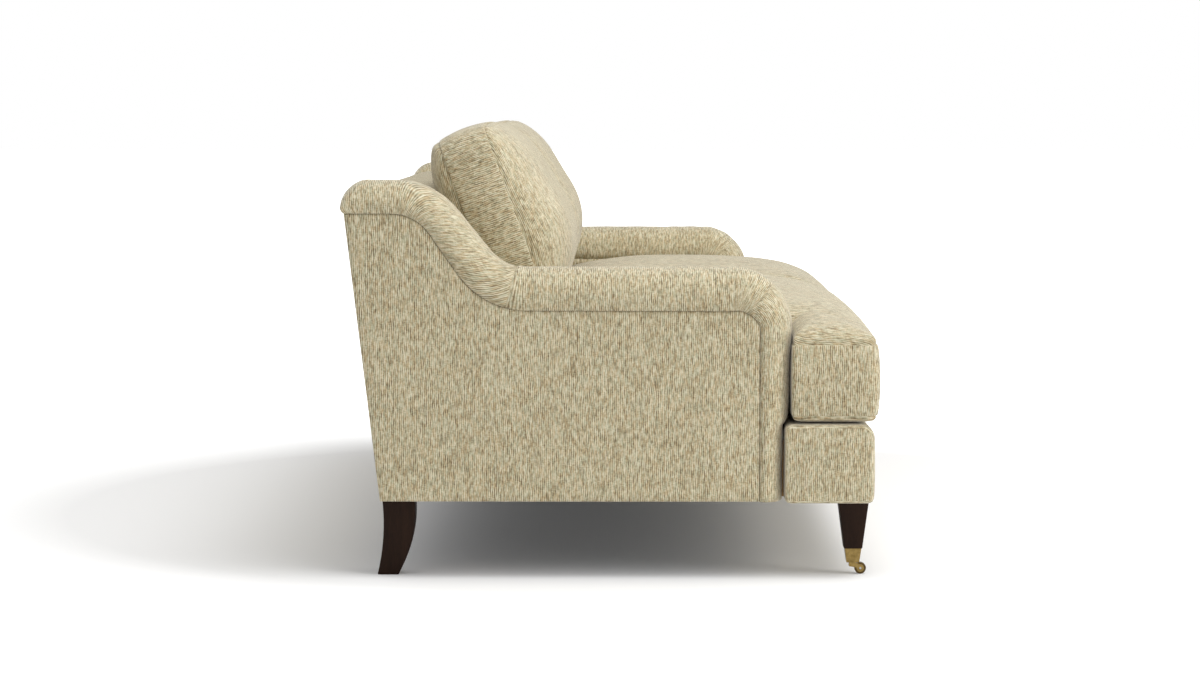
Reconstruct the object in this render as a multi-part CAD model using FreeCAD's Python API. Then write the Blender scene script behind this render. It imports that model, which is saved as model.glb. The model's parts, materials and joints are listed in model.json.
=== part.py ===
"""English roll arm sofa with two loose seat cushions, two loose back cushions and front casters.

All sizes are in millimetres. X runs along the sofa, the front faces -Y, and Z is up from the floor.
The origin is on the floor under the middle of the sofa. Pieces named right lie on +X, and left
pieces are their mirror images. Each file in parts/ holds one piece, or one set of like pieces.
"""

import FreeCAD, Part
import math
import os

V = FreeCAD.Vector
ORIGIN = V(0, 0, 0)
ALONG = V(1, 0, 0)

# Overall form
WIDTH = 2100.0
ARM_TOP = 585.5
SHOULDER_TOP = 750.0
BACK_DROP = 21.0
ARM_FRONT = -336.0
REAR_BOTTOM = 438.0
REAR_SEAM = 502.0
ROLL_OVERHANG = 6.0
ARM_BOTTOM = 146.0

# Arm roll: a padded band that follows the arm's side outline
ARM_WIDTH = 156.0
ROLL_DEPTH = 70.0
ROLL_CORNER = 70.0
ARM_SLOPE = 51.0
SLOPE_FOOT = 205.0
SHOULDER_BEND = 150.0
SLOPE_BEND = 85.0
FRONT_BEND = 110.0
SHOULDER_REAR_ROUND = 55.0

# Covers, pads and the clearance between neighbouring pieces
GAP = 0.3
TOUCH = 0.0001
COVER = 2.0
PANEL = 8.0
PANEL_RECESS = 6.0
ARM_PAD = 63.7
BACK_PANEL = 5.0
BACK_PAD = 60.0
BACK_LEAN = 20.0
BACK_DEPTH_AT_TOP = 149.0
BACK_FRONT_ROUND = 45.0
BACK_REAR_ROUND = 40.0
DECK = 26.0
HESSIAN = 1.5

# Front border, the padded bar under the front of the cushions
BORDER_DEPTH = 156.4
BORDER_BOTTOM = 142.0
BORDER_TOP = 292.0
BORDER_SIDE_INSET = 4.0
BORDER_ROUND = 22.0

# Wooden frame
TIMBER = 32.0
FRAME_BOTTOM = 150.0
CENTRE_RAIL_HEIGHT = 40.0
BACK_RAIL_SETBACK = 2.0
TOP_RAIL_HEIGHT = 40.0
TACK_RAIL_BOTTOM = 330.0
TACK_RAIL_HEIGHT = 40.0
ARM_BOARD = 22.0
ARM_BOARD_SIDE_GAP = 2.0
STUMP_DEPTH = 60.0
STUMP_SETBACK = 4.0
ARM_TACK_BOTTOM = 322.0
ARM_TACK_HEIGHT = 38.0
ARM_TACK_THICKNESS = 22.0
BLOCK_LEG = 60.0
BLOCK_HEIGHT = 80.0
BLOCK_RISE = 10.0

# Springs, webbing and the cloth underneath
SPRINGS = 12
SPRING_WIRE = 1.9
SPRING_STRAIGHT = 5.0
SPRING_RUNS = 18
SPRING_EDGE = 3.0
CLIP_LENGTH = 24.0
CLIP_DEPTH = 14.0
CLIP_PLATE = 1.2
STRAP_WIDTH = 50.0
STRAP = 2.0
UPRIGHT_STRAPS = 8
CROSS_STRAP_HEIGHTS = (440.0, 550.0)
DUST_CLOTH = 1.8

# Front legs and the brass casters under them
FRONT_LEG_SETBACK = 35.0
FRONT_LEG_TOP = 59.0
FRONT_LEG_FOOT = 34.8
CUP_HEIGHT = 28.1
CUP_STEP = 1.7
CUP_TAPER = 3.7
CUP_WALL = 1.5
CUP_FLOOR = 3.0
WHEEL_RADIUS = 11.0
WHEEL_WIDTH = 9.0
WHEEL_TRAIL = 14.5
WHEEL_SIDE_GAP = 0.6
WHEEL_TOP_GAP = 0.6
AXLE_RADIUS = 2.0
AXLE_PROUD = 0.6
RUNNING = 0.06
FORK_PLATE = 2.2
FORK_EYE = 7.0
FORK_TAIL = 7.0
FORK_CROWN = 7.6
STEM_RADIUS = 3.0
STEM_HEAD_RADIUS = 4.2
STEM_HEAD = 2.0
CUP_SCREW_RADIUS = 1.5
CUP_SCREW_LENGTH = 9.0
CUP_SCREW_HEAD_RADIUS = 2.8
CUP_SCREW_HEAD = 1.0

# Rear legs
REAR_LEG_SETBACK = 1.0
REAR_LEG_TOP_DEPTH = 61.5
REAR_LEG_SPLAY = 10.0
REAR_LEG_FOOT_DEPTH = 40.0
REAR_LEG_TOP_WIDTH = 56.0
REAR_LEG_FOOT_WIDTH = 42.0
REAR_LEG_WAIST = 6.5
REAR_LEG_BELLY = 11.5
BOLT_RADIUS = 4.0
BOLT_LENGTH = 84.0
BOLT_IN_LEG = 40.0
BOLT_END_GAP = 1.0
BOLT_HOLE_GAP = 0.1

# Seat cushions, each with an ear that fills the space in front of its arm
CUSHION_OVERHANG = 12.0
CUSHION_REAR_GAP = 4.0
CUSHION_SIDE_GAP = 2.0
CUSHION_FRONT_RISE = 211.0
CUSHION_CROWN_RISE = 242.0
CUSHION_CROWN_SETBACK = 315.0
CUSHION_REAR_RISE = 180.0
CUSHION_INNER_RISE = 213.0
CUSHION_EAR_RISE = 190.0
CUSHION_FRONT_ROUND = 80.0
CUSHION_CROWN_ROUND = 1200.0
CUSHION_REST_ROUND = 100.0
CUSHION_REAR_ROUND = 30.0
CUSHION_SIDE_ROUND = 60.0
CUSHION_EDGE = 8.0
CUSHION_CORNER = 24.0
CUSHION_NOTCH = 8.0
CUSHION_COVER = 3.0
ZIP_WIDTH = 8.0
ZIP = 1.2
SEAT_ZIP_LENGTH = 620.0
SEAT_ZIP_RISE = 74.0

# Back cushions, which lean on the inside back
BACK_CUSHION_HEIGHT = 382.0
BACK_CUSHION_BOXING = 96.0
BACK_CUSHION_FRONT_BULGE = 100.0
BACK_CUSHION_REAR_BULGE = 45.0
BACK_CUSHION_TOP_CROWN = 10.0
BACK_CUSHION_FRONT_TAPER = 130.0
BACK_CUSHION_REAR_TAPER = 60.0
BACK_CUSHION_TAPER_ROUND = 120.0
BACK_CUSHION_CORNER = 10.0
BACK_CUSHION_SIDE_GAP = 6.0
BACK_CUSHION_REST = 0.4
BACK_ZIP_LENGTH = 480.0
BACK_ZIP_DEPTH = 100.0

# Places that follow from the sizes
ARM_OUT = WIDTH / 2
ARM_IN = ARM_OUT - ARM_WIDTH
FRAME_INNER = ARM_IN + ARM_PAD + GAP
FRAME_OUTER = FRAME_INNER + TIMBER
LEG_X = FRAME_INNER + TIMBER / 2
BACK_TOP = SHOULDER_TOP - BACK_DROP
REAR_ROLL = REAR_SEAM + ROLL_OVERHANG
FRAME_TOP = SHOULDER_TOP - ROLL_DEPTH - GAP
DECK_BOTTOM = BORDER_TOP - DECK
BORDER_REAR = ARM_FRONT - 2 * GAP
BORDER_FRONT = BORDER_REAR - BORDER_DEPTH
WIRE_Z = DECK_BOTTOM - 2 * GAP - HESSIAN - CLIP_PLATE - SPRING_WIRE
RAIL_TOP = WIRE_Z - SPRING_WIRE - GAP
FRONT_LEG_Y = BORDER_FRONT + FRONT_LEG_SETBACK
CUP_BOTTOM = 2 * WHEEL_RADIUS + WHEEL_TOP_GAP
CUP_TOP = CUP_BOTTOM + CUP_HEIGHT
CUP_TOP_WIDTH = FRONT_LEG_FOOT - 2 * CUP_STEP
CUP_BOTTOM_WIDTH = CUP_TOP_WIDTH - 2 * CUP_TAPER
WHEEL_Y = FRONT_LEG_Y - WHEEL_TRAIL
REAR_LEG_TOP_REAR = REAR_BOTTOM - REAR_LEG_SETBACK
REAR_LEG_FOOT_REAR = REAR_LEG_TOP_REAR + REAR_LEG_SPLAY
REAR_BOLT_Y = REAR_LEG_TOP_REAR - REAR_LEG_TOP_DEPTH / 2
FRONT_RAIL_FRONT = FRONT_LEG_Y - TIMBER / 2
FRONT_RAIL_REAR = FRONT_LEG_Y + TIMBER / 2
LEAN = math.radians(BACK_LEAN)
PAD_REAR_OFFSET = 2 * STRAP + 4 * GAP


def rear_y(z):
    """The outside back's rear face at height z: a raked plane."""
    rise = SHOULDER_TOP - ROLL_DEPTH - ARM_BOTTOM
    return REAR_BOTTOM + (z - ARM_BOTTOM) * (REAR_SEAM - REAR_BOTTOM) / rise


def inside_back_y(z):
    """The front face of the padded inside back at height z."""
    return REAR_SEAM - BACK_DEPTH_AT_TOP - (BACK_TOP - z) * math.tan(LEAN)


def back_frame_y(z):
    """The front face of the wooden back frame at height z, behind the pad."""
    return inside_back_y(z) + BACK_PAD / math.cos(LEAN)


BACK_RAIL_FRONT = back_frame_y(RAIL_TOP) + BACK_RAIL_SETBACK
CUSHION_FRONT = BORDER_FRONT - CUSHION_OVERHANG
CUSHION_REAR = inside_back_y(BORDER_TOP) - CUSHION_REAR_GAP


def box(x0, x1, y0, y1, z0, z1):
    return Part.makeBox(x1 - x0, y1 - y0, z1 - z0, V(x0, y0, z0))


def cylinder(radius, start, direction, length):
    return Part.makeCylinder(radius, length, start, direction)


def mirrored(shape):
    return shape.mirror(ORIGIN, ALONG)


def both_sides(name, shape):
    save(name + "_right", shape)
    save(name + "_left", mirrored(shape))


def save(name, shape):
    solids = shape.Solids
    if len(solids) == 1:
        shape = solids[0]
    else:
        shape = Part.makeCompound(solids)
    shape.exportStep("parts/" + name + ".step")


def rounded_wire(points, radii):
    """A closed wire through points in one plane, with each corner rounded by a tangent arc."""
    count = len(points)
    entries, exits, middles = [], [], []
    for i, corner in enumerate(points):
        radius = radii[i]
        before = points[i - 1] - corner
        after = points[(i + 1) % count] - corner
        if radius <= 0:
            entries.append(corner)
            exits.append(corner)
            middles.append(None)
            continue
        before.normalize()
        after.normalize()
        half = before.getAngle(after) / 2
        reach = radius / math.tan(half)
        toward = before + after
        toward.normalize()
        entries.append(corner + before * reach)
        exits.append(corner + after * reach)
        middles.append(corner + toward * (radius / math.sin(half) - radius))
    edges = []
    for i in range(count):
        if middles[i] is not None:
            edges.append(Part.Arc(entries[i], middles[i], exits[i]).toShape())
        start, end = exits[i], entries[(i + 1) % count]
        if (end - start).Length > 1e-6:
            edges.append(Part.LineSegment(start, end).toShape())
    return Part.Wire(edges)


def side_prism(points, x0, x1, radii=None):
    """A solid from x0 to x1 whose outline is given as (y, z) points."""
    corners = [V(x0, y, z) for y, z in points]
    wire = rounded_wire(corners, radii or [0] * len(corners))
    return Part.Face(wire).extrude(V(x1 - x0, 0, 0))


def plan_prism(points, z0, z1, radii=None):
    """A solid from z0 to z1 whose outline is given as (x, y) points."""
    corners = [V(x, y, z0) for x, y in points]
    wire = rounded_wire(corners, radii or [0] * len(corners))
    return Part.Face(wire).extrude(V(0, 0, z1 - z0))


def front_prism(points, y0, y1, radii):
    """A solid from y0 to y1 whose outline is given as (x, z) points."""
    wire = rounded_wire([V(x, y0, z) for x, z in points], radii)
    return Part.Face(wire).extrude(V(0, y1 - y0, 0))


def square_taper(x, y, z0, width0, z1, width1):
    """A square peg that goes from width0 at z0 to width1 at z1."""
    rings = []
    for z, half in ((z0, width0 / 2), (z1, width1 / 2)):
        ring = [V(x - half, y - half, z), V(x + half, y - half, z)]
        ring += [V(x + half, y + half, z), V(x - half, y + half, z)]
        rings.append(Part.makePolygon(ring + ring[:1]))
    return Part.makeLoft(rings, True, True)


# The arm's side outline, from the shoulder over the slope and the arm top and down the front


def outline_corners(depth, start_y):
    """The outline's corners, taken in by depth from the outermost line, and the radius of each bend."""
    half_slope = math.tan(math.radians(ARM_SLOPE) / 2)
    rise = SHOULDER_TOP - ARM_TOP
    slope_head = SLOPE_FOOT + rise / math.tan(math.radians(ARM_SLOPE))
    corners = [
        (start_y, SHOULDER_TOP - depth),
        (slope_head + depth * half_slope, SHOULDER_TOP - depth),
        (SLOPE_FOOT + depth * half_slope, ARM_TOP - depth),
        (ARM_FRONT + depth, ARM_TOP - depth),
        (ARM_FRONT + depth, ARM_BOTTOM),
    ]
    radii = [0, SHOULDER_BEND - depth, SLOPE_BEND + depth, FRONT_BEND - depth, 0]
    return corners, radii


def roll_section(inset):
    """Half of a rounded band, seen along the arm: flat below, and round over both sides."""
    x0, x1 = inset, ARM_WIDTH - inset
    top = ROLL_DEPTH - inset
    radius = min(ROLL_CORNER - inset, top - GAP)
    points = [V(x0, 0, 0), V(x0, 0, top), V(x1, 0, top), V(x1, 0, 0)]
    return Part.Face(rounded_wire(points, [0, radius, radius, 0]))


def swept_roll(inset):
    """The roll's section carried along the outline: straight runs are extruded and bends are turned."""
    corners, radii = outline_corners(ROLL_DEPTH, REAR_ROLL)
    section = roll_section(inset)
    heading = 0.0
    place = V(0, *corners[0])
    pieces = []
    for i in range(1, len(corners)):
        corner, radius = V(0, *corners[i]), radii[i]
        turn = 0.0
        if i < len(corners) - 1:
            onward = V(0, *corners[i + 1]) - corner
            turn = math.degrees(math.atan2(-onward.z, -onward.y)) - heading
        reach = radius * math.tan(math.radians(abs(turn)) / 2)
        way = V(0, -math.cos(math.radians(heading)), -math.sin(math.radians(heading)))
        run = (corner - place).Length - reach
        face = section.copy()
        face.rotate(ORIGIN, ALONG, heading)
        face.translate(place)
        pieces.append(face.extrude(way * run))
        if turn:
            bend_start = place + way * run
            outward = V(0, way.z, -way.y)
            centre = bend_start - outward * math.copysign(radius, turn)
            face = section.copy()
            face.rotate(ORIGIN, ALONG, heading)
            face.translate(bend_start)
            pieces.append(face.revolve(centre, ALONG, turn))
            heading += turn
            onward.normalize()
            place = corner + onward * reach
    return pieces[0].fuse(pieces[1:]).removeSplitter()


def roll_form(inset):
    """The arm roll, drawn from X 0, with its rear top corner rounded where it meets the outside back."""
    low, rear = ARM_BOTTOM, REAR_ROLL - inset
    top = SHOULDER_TOP - inset
    points = [(ARM_FRONT - ARM_WIDTH, low), (rear, low), (rear, top), (ARM_FRONT - ARM_WIDTH, top)]
    radii = [0, 0, SHOULDER_REAR_ROUND - inset, 0]
    keep = side_prism(points, -GAP, ARM_WIDTH + GAP, radii)
    return swept_roll(inset).common(keep)


def under_roll(x0, x1):
    """Everything under the arm roll, from x0 to x1, up to the inner face of the outside back."""
    top = SHOULDER_TOP - ROLL_DEPTH - GAP
    corners, radii = outline_corners(ROLL_DEPTH + GAP, rear_y(top))
    points = corners + [(rear_y(ARM_BOTTOM), ARM_BOTTOM)]
    return side_prism(points, x0, x1, radii + [0])


def before_back_frame(x0, x1, z0, z1, offset=0.0):
    """A block in front of the leaning back frame, which ends offset short of it."""
    front = BORDER_FRONT
    points = [(front, z0), (back_frame_y(z0) - offset, z0)]
    points += [(back_frame_y(z1) - offset, z1), (front, z1)]
    return side_prism(points, x0, x1)


# Frame


def front_rail():
    rail = box(-FRAME_OUTER, FRAME_OUTER, FRONT_RAIL_FRONT, FRONT_RAIL_REAR, FRAME_BOTTOM, RAIL_TOP)
    return rail.cut(leg_bolt_holes())


def back_rail():
    y = BACK_RAIL_FRONT
    return box(-FRAME_INNER, FRAME_INNER, y, y + TIMBER, FRAME_BOTTOM, RAIL_TOP)


def side_rail():
    rail = before_back_frame(FRAME_INNER, FRAME_OUTER, FRAME_BOTTOM, RAIL_TOP)
    return rail.common(box(0, ARM_OUT, FRONT_RAIL_REAR, REAR_ROLL, 0, BACK_TOP))


def centre_rail():
    half = TIMBER / 2
    top = FRAME_BOTTOM + CENTRE_RAIL_HEIGHT
    return box(-half, half, FRONT_RAIL_REAR, BACK_RAIL_FRONT, FRAME_BOTTOM, top)


def back_frame_piece(x0, x1, z0, z1, depth=None):
    """A piece of the leaning back frame; without a depth it reaches the outside back."""
    inner = BACK_PANEL + GAP
    points = [(back_frame_y(z0), z0)]
    points.append((back_frame_y(z0) + depth if depth else rear_y(z0) - inner, z0))
    points.append((back_frame_y(z1) + depth if depth else rear_y(z1) - inner, z1))
    points.append((back_frame_y(z1), z1))
    return side_prism(points, x0, x1)


def back_post():
    post = back_frame_piece(FRAME_INNER, FRAME_OUTER, ARM_BOTTOM, FRAME_TOP)
    return post.common(under_roll(0, ARM_OUT)).cut(leg_bolt_holes())


def back_top_rail():
    low = FRAME_TOP - TOP_RAIL_HEIGHT
    rail = back_frame_piece(-FRAME_INNER, FRAME_INNER, low, FRAME_TOP)
    return rail.common(under_roll(-FRAME_INNER, FRAME_INNER))


def back_tack_rail():
    top = TACK_RAIL_BOTTOM + TACK_RAIL_HEIGHT
    return back_frame_piece(-FRAME_INNER, FRAME_INNER, TACK_RAIL_BOTTOM, top, TIMBER)


def board_bottom():
    return ARM_TOP - ROLL_DEPTH - GAP - ARM_BOARD


def arm_board():
    x1 = ARM_OUT - PANEL_RECESS - PANEL - ARM_BOARD_SIDE_GAP
    board = before_back_frame(FRAME_INNER, x1, board_bottom(), board_bottom() + ARM_BOARD)
    return board.common(under_roll(0, ARM_OUT))


def stump_front():
    return ARM_FRONT + ROLL_DEPTH + STUMP_SETBACK


def arm_stump():
    y = stump_front()
    stump = box(FRAME_INNER, FRAME_OUTER, y, y + STUMP_DEPTH, RAIL_TOP, board_bottom())
    return stump.common(under_roll(FRAME_INNER, FRAME_OUTER))


def arm_tack_rails():
    """Slats low in both arms that the inside arm's cover is nailed to."""
    x1 = FRAME_INNER + ARM_TACK_THICKNESS
    rail = before_back_frame(FRAME_INNER, x1, ARM_TACK_BOTTOM, ARM_TACK_BOTTOM + ARM_TACK_HEIGHT)
    rail = rail.common(box(0, ARM_OUT, stump_front() + STUMP_DEPTH, REAR_ROLL, 0, BACK_TOP))
    return Part.makeCompound([rail, mirrored(rail)])


def corner_blocks():
    """Four glued blocks that brace the corners of the seat frame."""
    blocks = []
    for y, inward in ((FRONT_RAIL_REAR, 1), (BACK_RAIL_FRONT, -1)):
        points = [(FRAME_INNER, y), (FRAME_INNER, y + inward * BLOCK_LEG), (FRAME_INNER - BLOCK_LEG, y)]
        low = FRAME_BOTTOM + BLOCK_RISE
        block = plan_prism(points, low, low + BLOCK_HEIGHT)
        blocks += [block, mirrored(block)]
    return Part.makeCompound(blocks)


# Legs, bolts and casters


def leg_bolts(clearance=0.0):
    """Hanger bolts, half in each leg and half in the timber over it."""
    bolts = []
    for y, top in ((FRONT_LEG_Y, FRAME_BOTTOM), (REAR_BOLT_Y, ARM_BOTTOM)):
        end_room = BOLT_END_GAP if clearance else 0.0
        start = V(LEG_X, y, top - BOLT_IN_LEG - end_room)
        length = BOLT_LENGTH + 2 * end_room
        bolt = cylinder(BOLT_RADIUS + clearance, start, V(0, 0, 1), length)
        bolts += [bolt, mirrored(bolt)]
    return Part.makeCompound(bolts)


def leg_bolt_holes():
    return leg_bolts(BOLT_HOLE_GAP)


def front_leg():
    """A square tapered leg whose narrow tenon sits in the brass cup."""
    leg = square_taper(LEG_X, FRONT_LEG_Y, CUP_TOP, FRONT_LEG_FOOT, FRAME_BOTTOM, FRONT_LEG_TOP)
    foot = CUP_BOTTOM + CUP_FLOOR + GAP
    shrink = 2 * (CUP_WALL + GAP)
    low = cup_width(foot) - shrink
    high = CUP_TOP_WIDTH - shrink
    leg = leg.fuse(square_taper(LEG_X, FRONT_LEG_Y, foot, low, CUP_TOP, high)).removeSplitter()
    bore_top = CUP_BOTTOM + CUP_FLOOR + STEM_HEAD + 2 * GAP
    bore = cylinder(STEM_HEAD_RADIUS + GAP, V(LEG_X, FRONT_LEG_Y, 0), V(0, 0, 1), bore_top)
    return leg.cut(bore).cut(leg_bolt_holes()).cut(cup_screw(GAP / 2))


def cup_width(z):
    """The cup's outside width at height z."""
    share = (z - CUP_BOTTOM) / (CUP_TOP - CUP_BOTTOM)
    return CUP_BOTTOM_WIDTH + share * (CUP_TOP_WIDTH - CUP_BOTTOM_WIDTH)


def caster_cup():
    """A square tapered socket with a closed floor that the swivel stem turns in."""
    cup = square_taper(LEG_X, FRONT_LEG_Y, CUP_BOTTOM, CUP_BOTTOM_WIDTH, CUP_TOP, CUP_TOP_WIDTH)
    floor = CUP_BOTTOM + CUP_FLOOR
    inner = cup_width(floor) - 2 * CUP_WALL
    mouth = CUP_TOP_WIDTH - 2 * CUP_WALL
    cup = cup.cut(square_taper(LEG_X, FRONT_LEG_Y, floor, inner, CUP_TOP, mouth))
    hole = cylinder(STEM_RADIUS + RUNNING, V(LEG_X, FRONT_LEG_Y, 0), V(0, 0, 1), floor + GAP)
    return cup.cut(hole).cut(cup_screw(GAP / 2))


def cup_screw(clearance=0.0):
    """The screw on the cup's inner side that holds the cup to the leg."""
    z = (CUP_BOTTOM + CUP_TOP) / 2 + CUP_FLOOR
    face_x = LEG_X - cup_width(z) / 2
    tilt = math.atan2(CUP_TOP_WIDTH - CUP_BOTTOM_WIDTH, 2 * (CUP_TOP - CUP_BOTTOM))
    way = V(math.cos(tilt), 0, math.sin(tilt))
    seat = V(face_x, FRONT_LEG_Y, z)
    shank = cylinder(CUP_SCREW_RADIUS + clearance, seat, way, CUP_SCREW_LENGTH + clearance)
    if clearance:
        return shank
    head = cylinder(CUP_SCREW_HEAD_RADIUS, seat - way * CUP_SCREW_HEAD, way, CUP_SCREW_HEAD)
    return head.fuse(shank)


def caster_screws():
    screw = cup_screw()
    return Part.makeCompound([screw, mirrored(screw)])


def fork_half_width():
    return WHEEL_WIDTH / 2 + WHEEL_SIDE_GAP + FORK_PLATE


def caster_fork():
    """Two plates that hold the wheel, joined by a crown under the cup, with the swivel stem on top."""
    x0, x1 = LEG_X - fork_half_width(), LEG_X + fork_half_width()
    top = CUP_BOTTOM - GAP
    tail = FRONT_LEG_Y + FORK_TAIL
    low = top - FORK_CROWN
    hub = V(x0, WHEEL_Y, WHEEL_RADIUS)
    eye = cylinder(FORK_EYE, hub, ALONG, x1 - x0)
    nose = FRONT_LEG_Y - STEM_RADIUS
    points = [(tail, low), (tail, top), (nose, top)]
    points += [(WHEEL_Y, WHEEL_RADIUS + FORK_EYE), (WHEEL_Y, WHEEL_RADIUS)]
    arm = side_prism(points, x0, x1)
    slot_start = V(x0 + FORK_PLATE, WHEEL_Y, WHEEL_RADIUS)
    slot = cylinder(WHEEL_RADIUS + WHEEL_TOP_GAP, slot_start, ALONG, WHEEL_WIDTH + 2 * WHEEL_SIDE_GAP)
    fork = eye.fuse(arm).cut(slot)
    axle_hole = cylinder(AXLE_RADIUS, hub, ALONG, x1 - x0)
    head_z = CUP_BOTTOM + CUP_FLOOR + GAP
    stem = cylinder(STEM_RADIUS, V(LEG_X, FRONT_LEG_Y, top - GAP), V(0, 0, 1), head_z - top + 2 * GAP)
    head = cylinder(STEM_HEAD_RADIUS, V(LEG_X, FRONT_LEG_Y, head_z), V(0, 0, 1), STEM_HEAD)
    return fork.cut(axle_hole).fuse([stem, head]).removeSplitter()


def caster_axle():
    reach = fork_half_width() + AXLE_PROUD
    return cylinder(AXLE_RADIUS, V(LEG_X - reach, WHEEL_Y, WHEEL_RADIUS), ALONG, 2 * reach)


def caster_wheel():
    start = V(LEG_X - WHEEL_WIDTH / 2, WHEEL_Y, WHEEL_RADIUS)
    wheel = cylinder(WHEEL_RADIUS, start, ALONG, WHEEL_WIDTH)
    return wheel.cut(cylinder(AXLE_RADIUS + RUNNING, start, ALONG, WHEEL_WIDTH))


def rear_leg():
    """A sabre leg: curved in side view, and tapered in front view."""
    top, front = ARM_BOTTOM, REAR_LEG_TOP_REAR - REAR_LEG_TOP_DEPTH
    foot_front = REAR_LEG_FOOT_REAR - REAR_LEG_FOOT_DEPTH
    middle = top / 2
    x0, x1 = LEG_X - REAR_LEG_TOP_WIDTH / 2, LEG_X + REAR_LEG_TOP_WIDTH / 2

    def point(y, z):
        return V(x0, y, z)

    rear_middle = (REAR_LEG_TOP_REAR + REAR_LEG_FOOT_REAR) / 2 - REAR_LEG_WAIST
    front_middle = (front + foot_front) / 2 - REAR_LEG_BELLY
    rear_curve = Part.Arc(
        point(REAR_LEG_TOP_REAR, top), point(rear_middle, middle), point(REAR_LEG_FOOT_REAR, 0)
    )
    front_curve = Part.Arc(point(foot_front, 0), point(front_middle, middle), point(front, top))
    foot = Part.LineSegment(point(REAR_LEG_FOOT_REAR, 0), point(foot_front, 0))
    head = Part.LineSegment(point(front, top), point(REAR_LEG_TOP_REAR, top))
    wire = Part.Wire([e.toShape() for e in (rear_curve, foot, front_curve, head)])
    curved = Part.Face(wire).extrude(V(x1 - x0, 0, 0))
    half = REAR_LEG_FOOT_WIDTH / 2
    points = [V(x0, 0, top), V(LEG_X - half, 0, 0), V(LEG_X + half, 0, 0), V(x1, 0, top)]
    taper = Part.Face(Part.makePolygon(points + points[:1])).extrude(V(0, REAR_ROLL, 0))
    return curved.common(taper).cut(leg_bolt_holes())


# Springs, clips, webbing and cloths


def spring_ends():
    return FRONT_LEG_Y, BACK_RAIL_FRONT + TIMBER / 2


def spring_bend():
    """The radius of a spring's half circles, which its length and its count of runs give."""
    y0, y1 = spring_ends()
    return (y1 - y0) / SPRING_RUNS / 2


def spring_half_width():
    return spring_bend() + SPRING_STRAIGHT


def spring_places():
    reach = ARM_IN - SPRING_EDGE - spring_half_width()
    return [-reach + 2 * reach * i / (SPRINGS - 1) for i in range(SPRINGS)]


def rear_side():
    """The side to which a spring's last run points: an even count ends opposite to its start."""
    return -1 if SPRING_RUNS % 2 else 1


def zigzag_spring(x):
    """One flat zigzag spring from the front rail to the back rail: runs joined by half circles."""
    y0, y1 = spring_ends()
    bend, half_width = spring_bend(), spring_half_width()
    edges = []
    place = V(x - half_width, y0, WIRE_Z)
    for i in range(SPRING_RUNS):
        side = 1 if i % 2 == 0 else -1
        y = y0 + 2 * bend * i
        turn_in = V(x + side * SPRING_STRAIGHT, y, WIRE_Z)
        edges.append(Part.LineSegment(place, turn_in).toShape())
        middle = V(x + side * half_width, y + bend, WIRE_Z)
        place = V(x + side * SPRING_STRAIGHT, y + 2 * bend, WIRE_Z)
        edges.append(Part.Arc(turn_in, middle, place).toShape())
    edges.append(Part.LineSegment(place, V(x + rear_side() * half_width, y1, WIRE_Z)).toShape())
    circle = Part.makeCircle(SPRING_WIRE, V(x - half_width, y0, WIRE_Z), ALONG)
    return Part.Wire(edges).makePipeShell([Part.Wire([circle])], True, False)


def seat_springs():
    return Part.makeCompound([zigzag_spring(x) for x in spring_places()])


def spring_clips():
    """Channels over the spring ends, nailed to the front and back rails."""
    clips = []
    half, deep, channel = CLIP_LENGTH / 2, CLIP_DEPTH / 2, SPRING_WIRE + GAP
    top = WIRE_Z + SPRING_WIRE + CLIP_PLATE
    for x in spring_places():
        for y, side in zip(spring_ends(), (-1, rear_side())):
            middle = x + side * spring_half_width() / 2
            clip = box(middle - half, middle + half, y - deep, y + deep, RAIL_TOP, top)
            inside = box(middle - half, middle + half, y - channel, y + channel, RAIL_TOP, top - CLIP_PLATE)
            clips.append(clip.cut(inside))
    return Part.makeCompound(clips)


def strap(x0, x1, z0, z1, offset):
    """A webbing strap that lies on the leaning back frame, offset in front of it."""
    points = []
    for z, out in ((z0, 0), (z0, STRAP), (z1, STRAP), (z1, 0)):
        points.append((back_frame_y(z) - offset - out, z))
    return side_prism(points, x0, x1)


def back_webbing():
    straps = []
    low = TACK_RAIL_BOTTOM + GAP
    step = 2 * ARM_IN / UPRIGHT_STRAPS
    for i in range(UPRIGHT_STRAPS):
        x = -ARM_IN + (i + 0.5) * step
        straps.append(strap(x - STRAP_WIDTH / 2, x + STRAP_WIDTH / 2, low, FRAME_TOP, GAP))
    for z in CROSS_STRAP_HEIGHTS:
        straps.append(strap(-FRAME_OUTER, FRAME_OUTER, z, z + STRAP_WIDTH, STRAP + 2 * GAP))
    return Part.makeCompound(straps)


def spring_hessian():
    x = ARM_IN - GAP
    top = DECK_BOTTOM - GAP
    return box(-x, x, FRONT_RAIL_FRONT, BACK_RAIL_FRONT, top - HESSIAN, top)


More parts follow.
